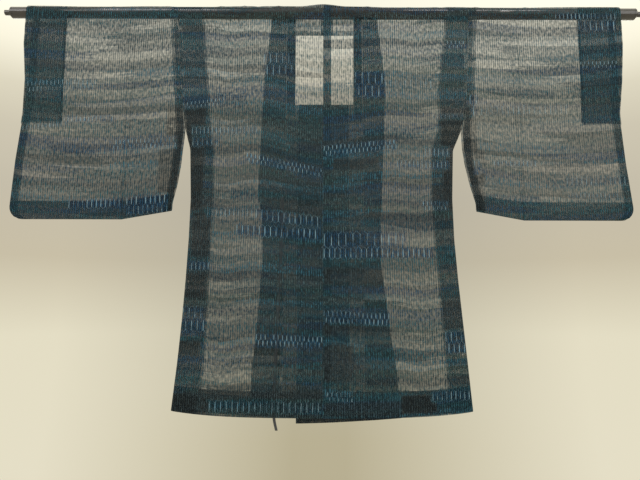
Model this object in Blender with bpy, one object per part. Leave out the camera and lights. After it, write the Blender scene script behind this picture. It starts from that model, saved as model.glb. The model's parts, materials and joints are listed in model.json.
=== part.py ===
"""A sheer, square-necked kimono coat hanging on a plain rod. Metres, +Z up, +X along the rod.

The origin is the middle of the rod's axis. The coat's back faces -Y and its fronts face +Y, so the
wearer's left is at -X. Each cloth piece is a closed wall laid out on a grid: columns run across the
coat, and rows run from the back hem up, over the rod and down to the front hem. A drop is a distance
down from the rod's axis, and a depth is a distance out from the coat's middle plane, y = 0.
"""

import math

import bmesh
import bpy
import numpy as np

# Rod
ROD_RADIUS = 0.0125
ROD_LENGTH = 1.400
ROD_SIDES = 28
CAP_LENGTH = 0.008
CAP_END_RADIUS = 0.0085
PIN_RADIUS = 0.006
PIN_LENGTH = 0.012

# Cloth walls
SEAM_GAP = 0.0003
ONE_LAYER = 0.0012
TWO_LAYERS = 0.0024
FACING_LAYER = 0.0010
STEP = 0.001  # slope where a doubled edge ends
FOLD_RADIUS = 0.0153  # outside of the cloth where it bends over the rod
CLOSED = TWO_LAYERS + SEAM_GAP / 2  # depth where back and front are sewn together

# Coat body
SIDE_HEM = 0.868
BACK_HEM = 0.877
LEFT_FRONT_HEM = 0.890
RIGHT_FRONT_HEM = 0.898
FRONT_HEM_CURVE = 1.7
HEM_TURN_UP = 0.050
FRONT_HEM_TURN_UP = 0.038
CENTRE_ALLOWANCE = 0.017
CROWN = 2.5  # how squarely the body fills out between its side seams
BODY_DROPS = (0, 0.04, 0.08, 0.12, 0.16, 0.2, 0.235, 0.275, 0.32, 0.37, 0.428, 0.515, 0.6, 0.685, 0.77)

# Half widths of the body at each drop, to the wearer's left and right
BODY_EDGES = {
    "drop": (0, 0.12, 0.235, 0.275, 0.32, 0.428, 0.515, 0.6, 0.685, 0.77, 0.868),
    "left": (0.325, 0.316, 0.306, 0.3, 0.289, 0.284, 0.285, 0.288, 0.2925, 0.2985, 0.3073),
    "right": (0.325, 0.319, 0.312, 0.302, 0.283, 0.278, 0.2793, 0.2845, 0.2912, 0.298, 0.3055),
}

# How wide the cloth turned in beside the armholes and side seams is
SIDE_ALLOWANCES = {
    "drop": (0, 0.1, 0.2, 0.32, 0.54, 0.77, 0.868),
    "left": (0.052, 0.054, 0.056, 0.05, 0.046, 0.053, 0.053),
    "right": (0.046, 0.053, 0.06, 0.046, 0.04, 0.0435, 0.045),
}

# Depths of the body's outside at each drop, at the side seam and at the middle
BODY_DEPTHS = {
    "drop": (0, 0.08, 0.16, 0.235, 0.275, 0.32, 0.6, 0.9),
    "side": (FOLD_RADIUS, 0.0135, 0.0112, 0.0085, 0.0058, CLOSED, CLOSED, CLOSED),
    "middle": (FOLD_RADIUS, 0.0162, 0.017, 0.018, 0.0186, 0.019, 0.0215, 0.0245),
}

# How far from the middle the cloth turned under beside the front opening reaches
TURNED_UNDER = {
    "drop": (0, 0.14, 0.22, 0.405, 0.47, 0.555, 0.72, 0.776, 0.868),
    "left": (0.1165, 0.132, 0.1355, 0.142, 0.1315, 0.13, 0.1415, 0.148, 0.1495),
    "right": (0.1225, 0.1384, 0.138, 0.1295, 0.1253, 0.1253, 0.1465, 0.155, 0.163),
}

# Neck and fronts
NECK_HALF_WIDTHS = {"left": 0.0625, "right": 0.0685}
NECK_BAND_WIDTH = 0.0205
NECK_DROP = 0.209
NECK_BAND_DROP = 0.234
NECK_BACK_ANGLE = -36  # degrees round the rod from its top, + towards the front
NECK_FACING_ANGLE = 54
FACING_DROP = 0.045
FACING_HEM = 0.012
ARCH_HEIGHT = 0.005  # how far the back neck stands above the shoulder fold
ARCH_HALF_WIDTH = 0.055
FRONT_OVERLAP = {"left": 0.058, "right": 0.055}  # how far each front passes the middle
OVERLAP_GAP = 0.001
OVERLAP_START = 0.200  # the left front begins to lift over the right one here
OVERLAP_FULL = 0.065

# Sleeves
SLEEVE_DROP = 0.475
SLEEVE_INNER_DROP = 0.456
ARMHOLE_DROP = 0.235
CREASE = 0.430  # the pressed fold, where the bottom edge turns up towards the body
MOUTH_DROP = 0.262
SLEEVE_CORNER = 0.030
SLEEVE_SIDE_ALLOWANCE = 0.017
SLEEVE_BOTTOM_ALLOWANCE = 0.040
FACING_PLACES = {"left": (0.5747, 0.568), "right": (0.570, 0.5635)}  # a facing's inner edge, top and end
FACING_SKEW = 0.012  # how much further out it lies on the front
FACING_END_DROP = 0.259
SLEEVE_DROPS = (0, 0.04, 0.08, 0.12, 0.16, 0.2, 0.235, 0.259, 0.263, 0.285, 0.322, 0.36, 0.4)

# The sleeves' outer edges, and their inner edges below the armholes
SLEEVE_OUTER_EDGES = {
    "drop": (0, 0.08, 0.16, 0.235, 0.345, 0.475),
    "left": (0.665, 0.6655, 0.6592, 0.66, 0.6685, 0.673),
    "right": (0.665, 0.6655, 0.6606, 0.6525, 0.6575, 0.668),
}
SLEEVE_INNER_EDGES = {
    "drop": (0.235, 0.28, 0.323, 0.36, 0.41, 0.456),
    "left": (0.3063, 0.3035, 0.3067, 0.309, 0.3148, 0.3235),
    "right": (0.3123, 0.304, 0.305, 0.309, 0.318, 0.329),
}

# Depths of the sleeve's outside at each drop
SLEEVE_DEPTHS = {
    "drop": (0, 0.08, 0.16, 0.235, 0.262, 0.285, 0.36, 0.43, 0.475),
    "armhole": (FOLD_RADIUS, 0.0135, 0.0112, 0.0085, 0.008, 0.0076, 0.0062, 0.004, CLOSED),
    "middle": (FOLD_RADIUS, 0.015, 0.014, 0.012, 0.0112, 0.0105, 0.0085, 0.005, CLOSED),
    "mouth": (FOLD_RADIUS, 0.0125, 0.0078, 0.0036, 0.0029, CLOSED, CLOSED, CLOSED, CLOSED),
}

# Tie
TIE_RADIUS = 0.003
TIE_SPACING = 0.015
TIE_ROUTE = (
    (-0.0880, 0.0162, -0.420),
    (-0.0885, 0.0162, -0.500),
    (-0.0915, 0.0165, -0.600),
    (-0.0960, 0.0170, -0.700),
    (-0.0990, 0.0172, -0.790),
    (-0.1005, 0.0172, -0.850),
    (-0.0998, 0.0170, -0.885),
    (-0.0945, 0.0168, -0.910),
)

# Rows of a piece lie on its back, over the rod or on its front
BACK, OVER, FRONT = -1, 0, 1
SIDES = {"left": -1, "right": 1}
OVER_STEP = 18
SEAM_ANGLE = math.degrees(SEAM_GAP / (FOLD_RADIUS - TWO_LAYERS))


def make_material(name, colour, roughness, metallic=0.0):
    material = bpy.data.materials.new(name)
    material.use_nodes = True
    shader = material.node_tree.nodes["Principled BSDF"]
    shader.inputs["Base Color"].default_value = (*colour, 1)
    shader.inputs["Roughness"].default_value = roughness
    shader.inputs["Metallic"].default_value = metallic
    return material


def read(table, column, drop):
    return float(np.interp(drop, table["drop"], table[column]))


def ramp(value):
    """0 to 1 with soft ends, as value goes from 0 to 1."""
    value = min(1.0, max(0.0, value))
    return value * value * (3 - 2 * value)


def link_mesh(name, mesh, material):
    data = bpy.data.meshes.new(name)
    mesh.to_mesh(data)
    mesh.free()
    data.materials.append(material)
    data.shade_smooth()
    data.set_sharp_from_angle(angle=math.radians(35))
    piece = bpy.data.objects.new(name, data)
    bpy.context.scene.collection.objects.link(piece)


def wall(name, outside, inside, present, material):
    """A closed wall between two grids of points, over the grid cells that present(i, j) allows.

    Every cell is split along the same diagonal, so that pieces on one grid keep their gap.
    """
    rows = len(outside)
    columns = len(outside[0])
    mesh = bmesh.new()
    made = {}

    def vertex(grid, i, j):
        key = (grid is outside, i, j)
        if key not in made:
            made[key] = mesh.verts.new(grid[i][j])
        return made[key]

    def filled(i, j):
        return 0 <= i < rows - 1 and 0 <= j < columns - 1 and present(i, j)

    for i in range(rows - 1):
        for j in range(columns - 1):
            if not filled(i, j):
                continue
            corners = ((i, j), (i, j + 1), (i + 1, j + 1), (i + 1, j))
            for half in (corners[:3], (corners[0], *corners[2:])):
                mesh.faces.new([vertex(outside, *corner) for corner in half])
                mesh.faces.new([vertex(inside, *corner) for corner in reversed(half)])
            neighbours = ((i - 1, j), (i, j + 1), (i + 1, j), (i, j - 1))
            for k, neighbour in enumerate(neighbours):
                if filled(*neighbour):
                    continue
                first = corners[k]
                second = corners[(k + 1) % 4]
                rim = ((inside, first), (inside, second), (outside, second), (outside, first))
                mesh.faces.new([vertex(grid, *corner) for grid, corner in rim])
    bmesh.ops.recalc_face_normals(mesh, faces=mesh.faces)
    link_mesh(name, mesh, material)


def arch(x):
    """How far the back neck stands above the shoulder fold."""
    return ARCH_HEIGHT * ramp(1 - abs(x) / ARCH_HALF_WIDTH)


def cloth_point(x, leg, value, inward, depth_at):
    """The point at x on a row, this far inward from the outside of the cloth."""
    if leg == OVER:
        angle = math.radians(value)
        radius = FOLD_RADIUS + arch(x) * math.cos(angle) - inward
        return (x, radius * math.sin(angle), radius * math.cos(angle))
    return (x, leg * (depth_at(x, value, leg) - inward), -value)


def cloth(name, rows, side, columns_at, depth_at, layer, material, present=None, drop_at=None):
    """A piece of cloth from its rows of (leg, drop or angle).

    columns_at(drop, leg) lists places out from the middle, and layer(i, j) gives how far inward
    the outside and the inside of the wall lie.
    """
    grids = ([], [])
    for i, (leg, value) in enumerate(rows):
        places = columns_at(0 if leg == OVER else value, leg)
        for k, grid in enumerate(grids):
            points = []
            for j, place in enumerate(places):
                x = side * place
                bent = leg != OVER and drop_at is not None
                here = drop_at(value, x, leg) if bent else value
                points.append(cloth_point(x, leg, here, layer(i, j)[k], depth_at))
            grid.append(points)
    wall(name, *grids, present or (lambda i, j: True), material)


def over_rows(first, last):
    """Rows round the rod, from one angle to the other, with the whole steps between them."""
    steps = [a for a in range(-90, 91, OVER_STEP) if first + SEAM_ANGLE < a < last - SEAM_ANGLE]
    return [(OVER, angle) for angle in (first, *steps, last)]


def side_name(side):
    return "left" if side < 0 else "right"


def body_edge(side, drop):
    return read(BODY_EDGES, side_name(side), drop)


def front_seam(name):
    """Where the neck band and the front band join the body."""
    return NECK_HALF_WIDTHS[name] + NECK_BAND_WIDTH


def lift(x, drop):
    """How far the left front stands out, so that it clears the right front under it."""
    across = ramp((OVERLAP_START - abs(min(x, 0))) / (OVERLAP_START - OVERLAP_FULL))
    return (TWO_LAYERS + OVERLAP_GAP) * across * ramp(drop / NECK_DROP)


def body_depth(x, drop, leg):
    side = read(BODY_DEPTHS, "side", drop)
    middle = read(BODY_DEPTHS, "middle", drop)
    out = min(1.0, abs(x) / body_edge(x, drop))
    return side + (middle - side) * (1 - out**CROWN)


def left_front_depth(x, drop, leg):
    return body_depth(x, drop, leg) + (lift(x, drop) if leg == FRONT else 0)


def front_hem(side, x):
    """Drop of a front's hem, which falls from the side seam to the front's free edge."""
    lowest = LEFT_FRONT_HEM if side < 0 else RIGHT_FRONT_HEM
    edge = body_edge(side, SIDE_HEM)
    rest = (side * x + FRONT_OVERLAP[side_name(side)]) / (edge + FRONT_OVERLAP[side_name(side)])
    return SIDE_HEM + (lowest - SIDE_HEM) * (1 - max(0.0, rest) ** FRONT_HEM_CURVE)


def back_hem(side, x):
    out = x / body_edge(side, SIDE_HEM)
    return BACK_HEM - (BACK_HEM - SIDE_HEM) * out**4


def make_body(name, material):
    side = SIDES[name]
    depth_at = left_front_depth if side < 0 else body_depth
    turned = {BACK: SIDE_HEM - HEM_TURN_UP, FRONT: SIDE_HEM - FRONT_HEM_TURN_UP}

    def drops(leg):
        return (*BODY_DROPS[1:], turned[leg] - STEP, turned[leg], SIDE_HEM)

    rows = [(BACK, drop) for drop in reversed(drops(BACK))]
    rows += over_rows(-90, NECK_BACK_ANGLE - SEAM_ANGLE)
    neck_row = len(rows) - 1
    rows += over_rows(NECK_BACK_ANGLE, 90)
    rows += [(FRONT, drop) for drop in drops(FRONT)]
    neck_column = 4

    def columns_at(drop, leg):
        edge = body_edge(side, drop)
        allowance = edge - read(SIDE_ALLOWANCES, name, drop)
        under = read(TURNED_UNDER, name, drop)
        inner = (SEAM_GAP / 2, CENTRE_ALLOWANCE, CENTRE_ALLOWANCE + STEP, 0.05, front_seam(name) + SEAM_GAP)
        plain = (under, under + STEP, (2 * under + allowance) / 3, (under + 2 * allowance) / 3)
        return (*inner, *plain, allowance - STEP, allowance, edge)

    def layer(i, j):
        leg, drop = rows[i]
        doubled = j >= 10 or (leg != OVER and drop >= turned[leg])
        doubled = doubled or (i > neck_row and neck_column <= j <= neck_column + 1)
        doubled = doubled or (i <= neck_row and j <= 1 and side > 0)
        return (0, TWO_LAYERS if doubled else ONE_LAYER)

    def present(i, j):
        return i < neck_row or j >= neck_column

    def drop_at(drop, x, leg):
        hem = back_hem(side, x) if leg == BACK else front_hem(side, x)
        return drop * hem / SIDE_HEM

    cloth("body_" + name, rows, side, columns_at, depth_at, layer, material, present, drop_at)


def make_front_band(name, material):
    """The double band from the body's front edge to the front's free edge, past the middle."""
    side = SIDES[name]
    depth_at = left_front_depth if side < 0 else body_depth
    top = NECK_BAND_DROP + SEAM_GAP
    shares = (0, 0.05, 0.12, 0.28, 0.42, 0.56, 0.7, 0.85, 1)
    rows = [(FRONT, share) for share in shares]
    places = (-FRONT_OVERLAP[name], -0.028, 0, 0.03, 0.058, front_seam(name))

    def drop_at(share, x, leg):
        return top + share * (front_hem(side, x) - top)

    def layer(i, j):
        return (0, TWO_LAYERS)

    cloth(
        "front_band_" + name,
        rows,
        side,
        lambda drop, leg: places,
        depth_at,
        layer,
        material,
        drop_at=drop_at,
    )


def make_neck_band(name, material):
    """Half of the square neck's frame: over the back neck, down one side and along a front's top."""
    side = SIDES[name]
    depth_at = left_front_depth if side < 0 else body_depth
    rows = over_rows(NECK_BACK_ANGLE, NECK_FACING_ANGLE)
    back_rows = len(rows) - 1
    rows += over_rows(NECK_FACING_ANGLE + SEAM_ANGLE, 90)
    rows += [(FRONT, drop) for drop in (0.04, 0.08, 0.12, 0.16, NECK_DROP, NECK_BAND_DROP)]
    half = NECK_HALF_WIDTHS[name]
    places = (-FRONT_OVERLAP[name], -0.028, SEAM_GAP / 2, 0.02, 0.04, half, front_seam(name))
    middle = 2
    window = 5
    last = len(rows) - 2

    def present(i, j):
        return j >= window or i == last or (i < back_rows and j >= middle)

    def layer(i, j):
        return (0, TWO_LAYERS)

    cloth(
        "neck_band_" + name,
        rows,
        side,
        lambda drop, leg: places,
        depth_at,
        layer,
        material,
        present=present,
    )


def make_neck_facing(material):
    """The short facing that hangs behind the rod from the back neck, with its own small hem."""
    left = NECK_HALF_WIDTHS["left"] - SEAM_GAP
    right = NECK_HALF_WIDTHS["right"] - SEAM_GAP
    hem = FACING_DROP - FACING_HEM
    rows = over_rows(NECK_FACING_ANGLE + SEAM_ANGLE, 90)
    rows += [(FRONT, drop) for drop in (0.016, hem - STEP, hem, FACING_DROP)]
    seam = CENTRE_ALLOWANCE / 2
    places = (-left, -0.04, -seam - STEP, -seam, 0, seam, seam + STEP, 0.04, right)

    def layer(i, j):
        leg, drop = rows[i]
        doubled = (leg == FRONT and drop >= hem) or 3 <= j <= 5
        return (0, TWO_LAYERS if doubled else ONE_LAYER)

    def depth_at(x, drop, leg):
        return FOLD_RADIUS

    cloth("back_neck_facing", rows, 1, lambda drop, leg: places, depth_at, layer, material)


def sleeve_outer_edge(side, drop):
    """The sleeve's outer edge, down to its rounded bottom corner."""
    edge = read(SLEEVE_OUTER_EDGES, side_name(side), drop)
    below = max(0, drop - (SLEEVE_DROP - SLEEVE_CORNER))
    return edge - SLEEVE_CORNER + math.sqrt(max(0, SLEEVE_CORNER**2 - below**2))


def sleeve_inner_edge(side, drop):
    """Along the body down to the armhole's end, then free and bowed away from the body."""
    if drop <= ARMHOLE_DROP:
        return body_edge(side, drop) + SEAM_GAP
    return read(SLEEVE_INNER_EDGES, side_name(side), drop)


def sleeve_depth(x, drop, leg):
    side = math.copysign(1, x)
    inner = sleeve_inner_edge(side, drop)
    across = min(1.0, max(0.0, (abs(x) - inner) / (sleeve_outer_edge(side, drop) - inner)))
    return (
        read(SLEEVE_DEPTHS, "armhole", drop) * (1 - across) * (1 - 2 * across)
        + read(SLEEVE_DEPTHS, "middle", drop) * 4 * across * (1 - across)
        + read(SLEEVE_DEPTHS, "mouth", drop) * across * (2 * across - 1)
    )


def sleeve_bottom(x):
    """Drop of the sleeve's bottom edge, which turns up from the pressed fold to the body."""
    inner = sleeve_inner_edge(x, SLEEVE_INNER_DROP)
    share = min(1.0, max(0.0, (CREASE - abs(x)) / (CREASE - inner)))
    return SLEEVE_DROP - (SLEEVE_DROP - SLEEVE_INNER_DROP) * share


def sleeve_drop_at(drop, x, leg):
    if drop <= ARMHOLE_DROP:
        return drop
    share = (drop - ARMHOLE_DROP) / (SLEEVE_DROP - ARMHOLE_DROP)
    return ARMHOLE_DROP + share * (sleeve_bottom(x) - ARMHOLE_DROP)


def sleeve_columns(side, drop, leg):
    inner = sleeve_inner_edge(side, drop)
    edge = sleeve_outer_edge(side, drop)
    allowance = SLEEVE_SIDE_ALLOWANCE
    facing_edge = float(np.interp(drop, (0, FACING_END_DROP), FACING_PLACES[side_name(side)]))
    facing_edge += {BACK: 0, OVER: FACING_SKEW / 2, FRONT: FACING_SKEW}[leg]
    facing_edge = min(facing_edge, edge - 3 * allowance)
    return (
        inner,
        inner + allowance,
        inner + allowance + STEP,
        0.385,
        CREASE,
        0.48,
        0.53,
        facing_edge,
        (facing_edge + edge - allowance) / 2,
        edge - allowance - STEP,
        edge - allowance,
        edge,
    )


def make_sleeve(name, material):
    """One length folded over the rod, sewn along the bottom and up to the sleeve's mouth."""
    side = SIDES[name]
    band = SLEEVE_DROP - SLEEVE_BOTTOM_ALLOWANCE
    drops = (*SLEEVE_DROPS[1:], band - STEP, band, 0.455, 0.467, 0.4735, SLEEVE_DROP)
    rows = [(BACK, drop) for drop in reversed(drops)]
    rows += over_rows(-90, 90)
    rows += [(FRONT, drop) for drop in drops]

    def layer(i, j):
        leg, drop = rows[i]
        below_mouth = leg != OVER and drop > MOUTH_DROP and j >= 10
        doubled = j <= 1 or below_mouth or (leg != OVER and drop >= band)
        return (0, TWO_LAYERS if doubled else ONE_LAYER)

    cloth(
        "sleeve_" + name,
        rows,
        side,
        lambda drop, leg: sleeve_columns(side, drop, leg),
        sleeve_depth,
        layer,
        material,
        drop_at=sleeve_drop_at,
    )


def make_sleeve_facing(name, material):
    """The facing inside a sleeve's mouth, laid out on the sleeve's own points and moved inward."""
    side = SIDES[name]
    drops = [drop for drop in SLEEVE_DROPS[1:] if drop <= FACING_END_DROP]
    rows = [(BACK, drop) for drop in reversed(drops)]
    rows += over_rows(-90, 90)
    rows += [(FRONT, drop) for drop in drops]
    outward = ONE_LAYER + SEAM_GAP

    def columns_at(drop, leg):
        *between, edge = sleeve_columns(side, drop, leg)[7:]
        return (*between, edge - SEAM_GAP)

    def layer(i, j):
        return (outward, outward + FACING_LAYER)

    cloth(
        "sleeve_facing_" + name,
        rows,
        side,
        columns_at,
        sleeve_depth,
        layer,
        material,
        drop_at=sleeve_drop_at,
    )


def make_tie(material):
    """The narrow tie, sewn inside the left front's band seam, which hangs past the hem."""
    anchors = [np.array(point) for point in TIE_ROUTE]
    ends = [2 * anchors[0] - anchors[1], *anchors, 2 * anchors[-1] - anchors[-2]]
    points = []
    for before, start, end, after in zip(ends, ends[1:], ends[2:], ends[3:]):
        steps = max(1, round(float(np.linalg.norm(end - start)) / TIE_SPACING))
        for step in range(steps):
            t = step / steps
            bend = 2 * start + (end - before) * t
            bend = bend + (2 * before - 5 * start + 4 * end - after) * t**2
            points.append((bend + (3 * start - before - 3 * end + after) * t**3) / 2)
    points.append(anchors[-1])
    data = bpy.data.curves.new("tie", "CURVE")
    data.dimensions = "3D"
    data.bevel_depth = TIE_RADIUS
    data.bevel_resolution = 2
    data.use_fill_caps = True
    spline = data.splines.new("POLY")
    spline.points.add(len(points) - 1)
    for place, point in zip(spline.points, points):
        place.co = (*point, 1)
    data.materials.append(material)
    bpy.context.scene.collection.objects.link(bpy.data.objects.new("tie", data))


def turned(name, profile, material):
    """A closed solid turned about the rod's axis, from a profile of (x, radius)."""
    mesh = bmesh.new()
    rings = []
    for x, radius in profile:
        angles = [2 * math.pi * k / ROD_SIDES for k in range(ROD_SIDES)]
        rings.append([mesh.verts.new((x, radius * math.cos(a), radius * math.sin(a))) for a in angles])
    for first, second in zip(rings, rings[1:]):
        for k in range(ROD_SIDES):
            after = (k + 1) % ROD_SIDES
            mesh.faces.new((first[k], first[after], second[after], second[k]))
    mesh.faces.new(rings[0])
    mesh.faces.new(rings[-1])
    bmesh.ops.recalc_face_normals(mesh, faces=mesh.faces)
    link_mesh(name, mesh, material)


def make_rod(material):
    half = ROD_LENGTH / 2
    turned("rod", [(-half, ROD_RADIUS), (half, ROD_RADIUS)], material)
    for name, side in SIDES.items():
        start = half + SEAM_GAP
        profile = [
            (side * start, ROD_RADIUS),
            (side * (start + CAP_LENGTH / 2), ROD_RADIUS),
            (side * (start + CAP_LENGTH), CAP_END_RADIUS),
            (side * (start + CAP_LENGTH), PIN_RADIUS),
            (side * (start + CAP_LENGTH + PIN_LENGTH), PIN_RADIUS),
        ]
        turned("rod_end_" + name, profile, material)


def main():
    for old in list(bpy.data.objects):
        bpy.data.objects.remove(old, do_unlink=True)
    for name in SIDES:
        make_body(name, make_material("gauze_body_" + name, (0.035, 0.06, 0.07), 0.75))
        make_front_band(name, make_material("gauze_band_" + name, (0.025, 0.045, 0.055), 0.75))
        make_neck_band(name, make_material("gauze_neck_" + name, (0.03, 0.05, 0.06), 0.75))
        make_sleeve(name, make_material("gauze_sleeve_" + name, (0.035, 0.06, 0.07), 0.75))
        make_sleeve_facing(name, make_material("gauze_facing_" + name, (0.02, 0.04, 0.045), 0.75))
    make_neck_facing(make_material("gauze_neck_facing", (0.04, 0.06, 0.06), 0.75))
    make_tie(make_material("tie_cloth", (0.02, 0.02, 0.025), 0.8))
    make_rod(make_material("rod_coating", (0.015, 0.014, 0.014), 0.4))


main()
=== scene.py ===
import json
import math

import bmesh
import bpy
import numpy as np
from mathutils import Matrix, Vector

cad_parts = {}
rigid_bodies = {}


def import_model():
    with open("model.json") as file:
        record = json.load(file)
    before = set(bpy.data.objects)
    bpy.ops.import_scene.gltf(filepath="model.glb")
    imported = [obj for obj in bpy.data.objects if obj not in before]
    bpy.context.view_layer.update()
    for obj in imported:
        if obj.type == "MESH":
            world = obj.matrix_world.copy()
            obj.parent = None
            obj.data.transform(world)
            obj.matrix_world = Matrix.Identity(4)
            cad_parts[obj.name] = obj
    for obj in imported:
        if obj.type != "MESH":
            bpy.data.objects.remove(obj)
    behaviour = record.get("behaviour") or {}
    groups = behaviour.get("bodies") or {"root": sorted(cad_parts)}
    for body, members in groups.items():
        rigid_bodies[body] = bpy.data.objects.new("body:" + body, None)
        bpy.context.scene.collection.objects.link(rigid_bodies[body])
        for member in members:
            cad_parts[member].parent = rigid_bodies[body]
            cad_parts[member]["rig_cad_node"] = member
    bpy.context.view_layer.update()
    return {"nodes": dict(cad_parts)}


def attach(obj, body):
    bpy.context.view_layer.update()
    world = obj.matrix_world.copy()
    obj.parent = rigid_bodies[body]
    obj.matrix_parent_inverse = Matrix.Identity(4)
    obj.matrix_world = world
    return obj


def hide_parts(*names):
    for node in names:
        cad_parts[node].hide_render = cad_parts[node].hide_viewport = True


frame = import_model()

# The cloth's form, as in the coat's own solids. A drop is a distance down from the rod's axis.
FOLD_RADIUS = 0.0153
SEAM_GAP = 0.0003
CLOSED = 0.00255
SIDE_HEM = 0.868
BACK_HEM = 0.877
LEFT_FRONT_HEM = 0.890
RIGHT_FRONT_HEM = 0.898
FRONT_HEM_CURVE = 1.7
HEM_TURN_UP = 0.050
FRONT_HEM_TURN_UP = 0.038
CENTRE_ALLOWANCE = 0.0175
CROWN = 2.5
BODY_EDGES = {
    "drop": (0, 0.12, 0.235, 0.275, 0.32, 0.428, 0.515, 0.6, 0.685, 0.77, 0.868),
    "left": (0.325, 0.316, 0.306, 0.3, 0.289, 0.284, 0.285, 0.288, 0.2925, 0.2985, 0.3073),
    "right": (0.325, 0.319, 0.312, 0.302, 0.283, 0.278, 0.2793, 0.2845, 0.2912, 0.298, 0.3055),
}
SIDE_ALLOWANCES = {
    "drop": (0, 0.1, 0.2, 0.32, 0.54, 0.77, 0.868),
    "left": (0.052, 0.054, 0.056, 0.05, 0.046, 0.053, 0.053),
    "right": (0.046, 0.053, 0.06, 0.046, 0.04, 0.0435, 0.045),
}
BODY_DEPTHS = {
    "drop": (0, 0.08, 0.16, 0.235, 0.275, 0.32, 0.6, 0.9),
    "side": (FOLD_RADIUS, 0.0135, 0.0112, 0.0085, 0.0058, CLOSED, CLOSED, CLOSED),
    "middle": (FOLD_RADIUS, 0.0162, 0.017, 0.018, 0.0186, 0.019, 0.0215, 0.0245),
}
TURNED_UNDER = {
    "drop": (0, 0.14, 0.22, 0.405, 0.47, 0.555, 0.72, 0.776, 0.868),
    "left": (0.1165, 0.132, 0.1355, 0.142, 0.1315, 0.13, 0.1415, 0.148, 0.1495),
    "right": (0.1225, 0.1384, 0.138, 0.1295, 0.1253, 0.1253, 0.1465, 0.155, 0.163),
}
NECK_HALF_WIDTHS = {"left": 0.0625, "right": 0.0685}
NECK_BAND_WIDTH = 0.0205
NECK_DROP = 0.209
NECK_BAND_DROP = 0.234
NECK_BACK = 36  # degrees round the rod from its top, + to the back
NECK_FACING = -54
OVER_ANGLES = (
    *(80, 70, 60, 50, 43, NECK_BACK, 28, 18, 9, 0),
    *(-9, -18, -27, -36, -45, NECK_FACING, -62, -70, -80),
)
SEAM_ANGLE = 1.3
FACING_DROP = 0.045
FACING_HEM = 0.012
ARCH_HEIGHT = 0.005
ARCH_HALF_WIDTH = 0.055
FRONT_OVERLAP = {"left": 0.058, "right": 0.055}
OVERLAP_LIFT = 0.0034
OVERLAP_START = 0.200
OVERLAP_FULL = 0.065
SLEEVE_DROP = 0.475
SLEEVE_INNER_DROP = 0.456
ARMHOLE_DROP = 0.235
CREASE = 0.430
MOUTH_DROP = 0.262
SLEEVE_CORNER = 0.030
SLEEVE_SIDE_ALLOWANCE = 0.017
SLEEVE_BOTTOM_ALLOWANCE = 0.040
FACING_PLACES = {"left": (0.5747, 0.568), "right": (0.570, 0.5635)}
FACING_SKEW = 0.012
FACING_END_DROP = 0.259
SLEEVE_OUTER_EDGES = {
    "drop": (0, 0.08, 0.16, 0.235, 0.345, 0.475),
    "left": (0.665, 0.6655, 0.6592, 0.66, 0.6685, 0.673),
    "right": (0.665, 0.6655, 0.6606, 0.6525, 0.6575, 0.668),
}
SLEEVE_INNER_EDGES = {
    "drop": (0.235, 0.28, 0.323, 0.36, 0.41, 0.456),
    "left": (0.3063, 0.3035, 0.3067, 0.309, 0.3148, 0.3235),
    "right": (0.3123, 0.304, 0.305, 0.309, 0.318, 0.329),
}
SLEEVE_DEPTHS = {
    "drop": (0, 0.08, 0.16, 0.235, 0.262, 0.285, 0.36, 0.43, 0.475),
    "armhole": (FOLD_RADIUS, 0.0135, 0.0112, 0.0085, 0.008, 0.0076, 0.0062, 0.004, CLOSED),
    "middle": (FOLD_RADIUS, 0.015, 0.014, 0.012, 0.0112, 0.0105, 0.0085, 0.005, CLOSED),
    "mouth": (FOLD_RADIUS, 0.0125, 0.0078, 0.0036, 0.0029, CLOSED, CLOSED, CLOSED, CLOSED),
}
TIE_RADIUS = 0.003
TIE_ROUTE = (
    (-0.0880, 0.0162, -0.420),
    (-0.0885, 0.0162, -0.500),
    (-0.0915, 0.0165, -0.600),
    (-0.0960, 0.0170, -0.700),
    (-0.0990, 0.0172, -0.790),
    (-0.1005, 0.0172, -0.850),
    (-0.0998, 0.0170, -0.885),
    (-0.0945, 0.0168, -0.910),
)
# The tie's half widths in radii and its turn: the middle value, how far it varies and how fast
TIE_WIDE = (0.98, 0.03, 60)
TIE_FLAT = (0.62, 0.06, 43)
TIE_TURN = (0, 0.25, 14)
TIE_SIDES = 12
TIE_SPAN = 16  # points between two of the route's

# How the layers lie in the solids' walls: distances inward from the outside of the wall
OUTER = 0.0003
FOLDED = 0.0013
DOUBLED = 0.0018
HEM_FOLD = 0.0005
CROSSED = 0.0004  # where two folded-in edges lie over each other
FACING_INWARD = 0.0020
FACING_SEAM = (-0.0055, 0.022)
FACING_ALLOWANCE = 0.015
FACING_EDGE_TURN = 0.005
TIGHT = 0.0008  # from a fold to the next points of the cloth turned under
PINCH = 0.006  # how far from a sewn edge the back and front come together
SIDE_SEAM_TOP = 0.305
CREASE_ROOM = 0.004
LEAST_DEPTH = 0.00012
ROD_CLEAR = 0.0133
BAND_ALLOWANCE = 0.030

# Cuts before sewing, width and length
BODY_CUT = (0.395, 2.01)
BAND_CUT = (0.34, 0.73)
NECK_BAND_CUT = (0.072, 0.47)
NECK_FACING_CUT = (0.13, 0.085)
SLEEVE_CUT = (0.382, 1.08)
FACING_CUT = (0.108, 0.58)

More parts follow.
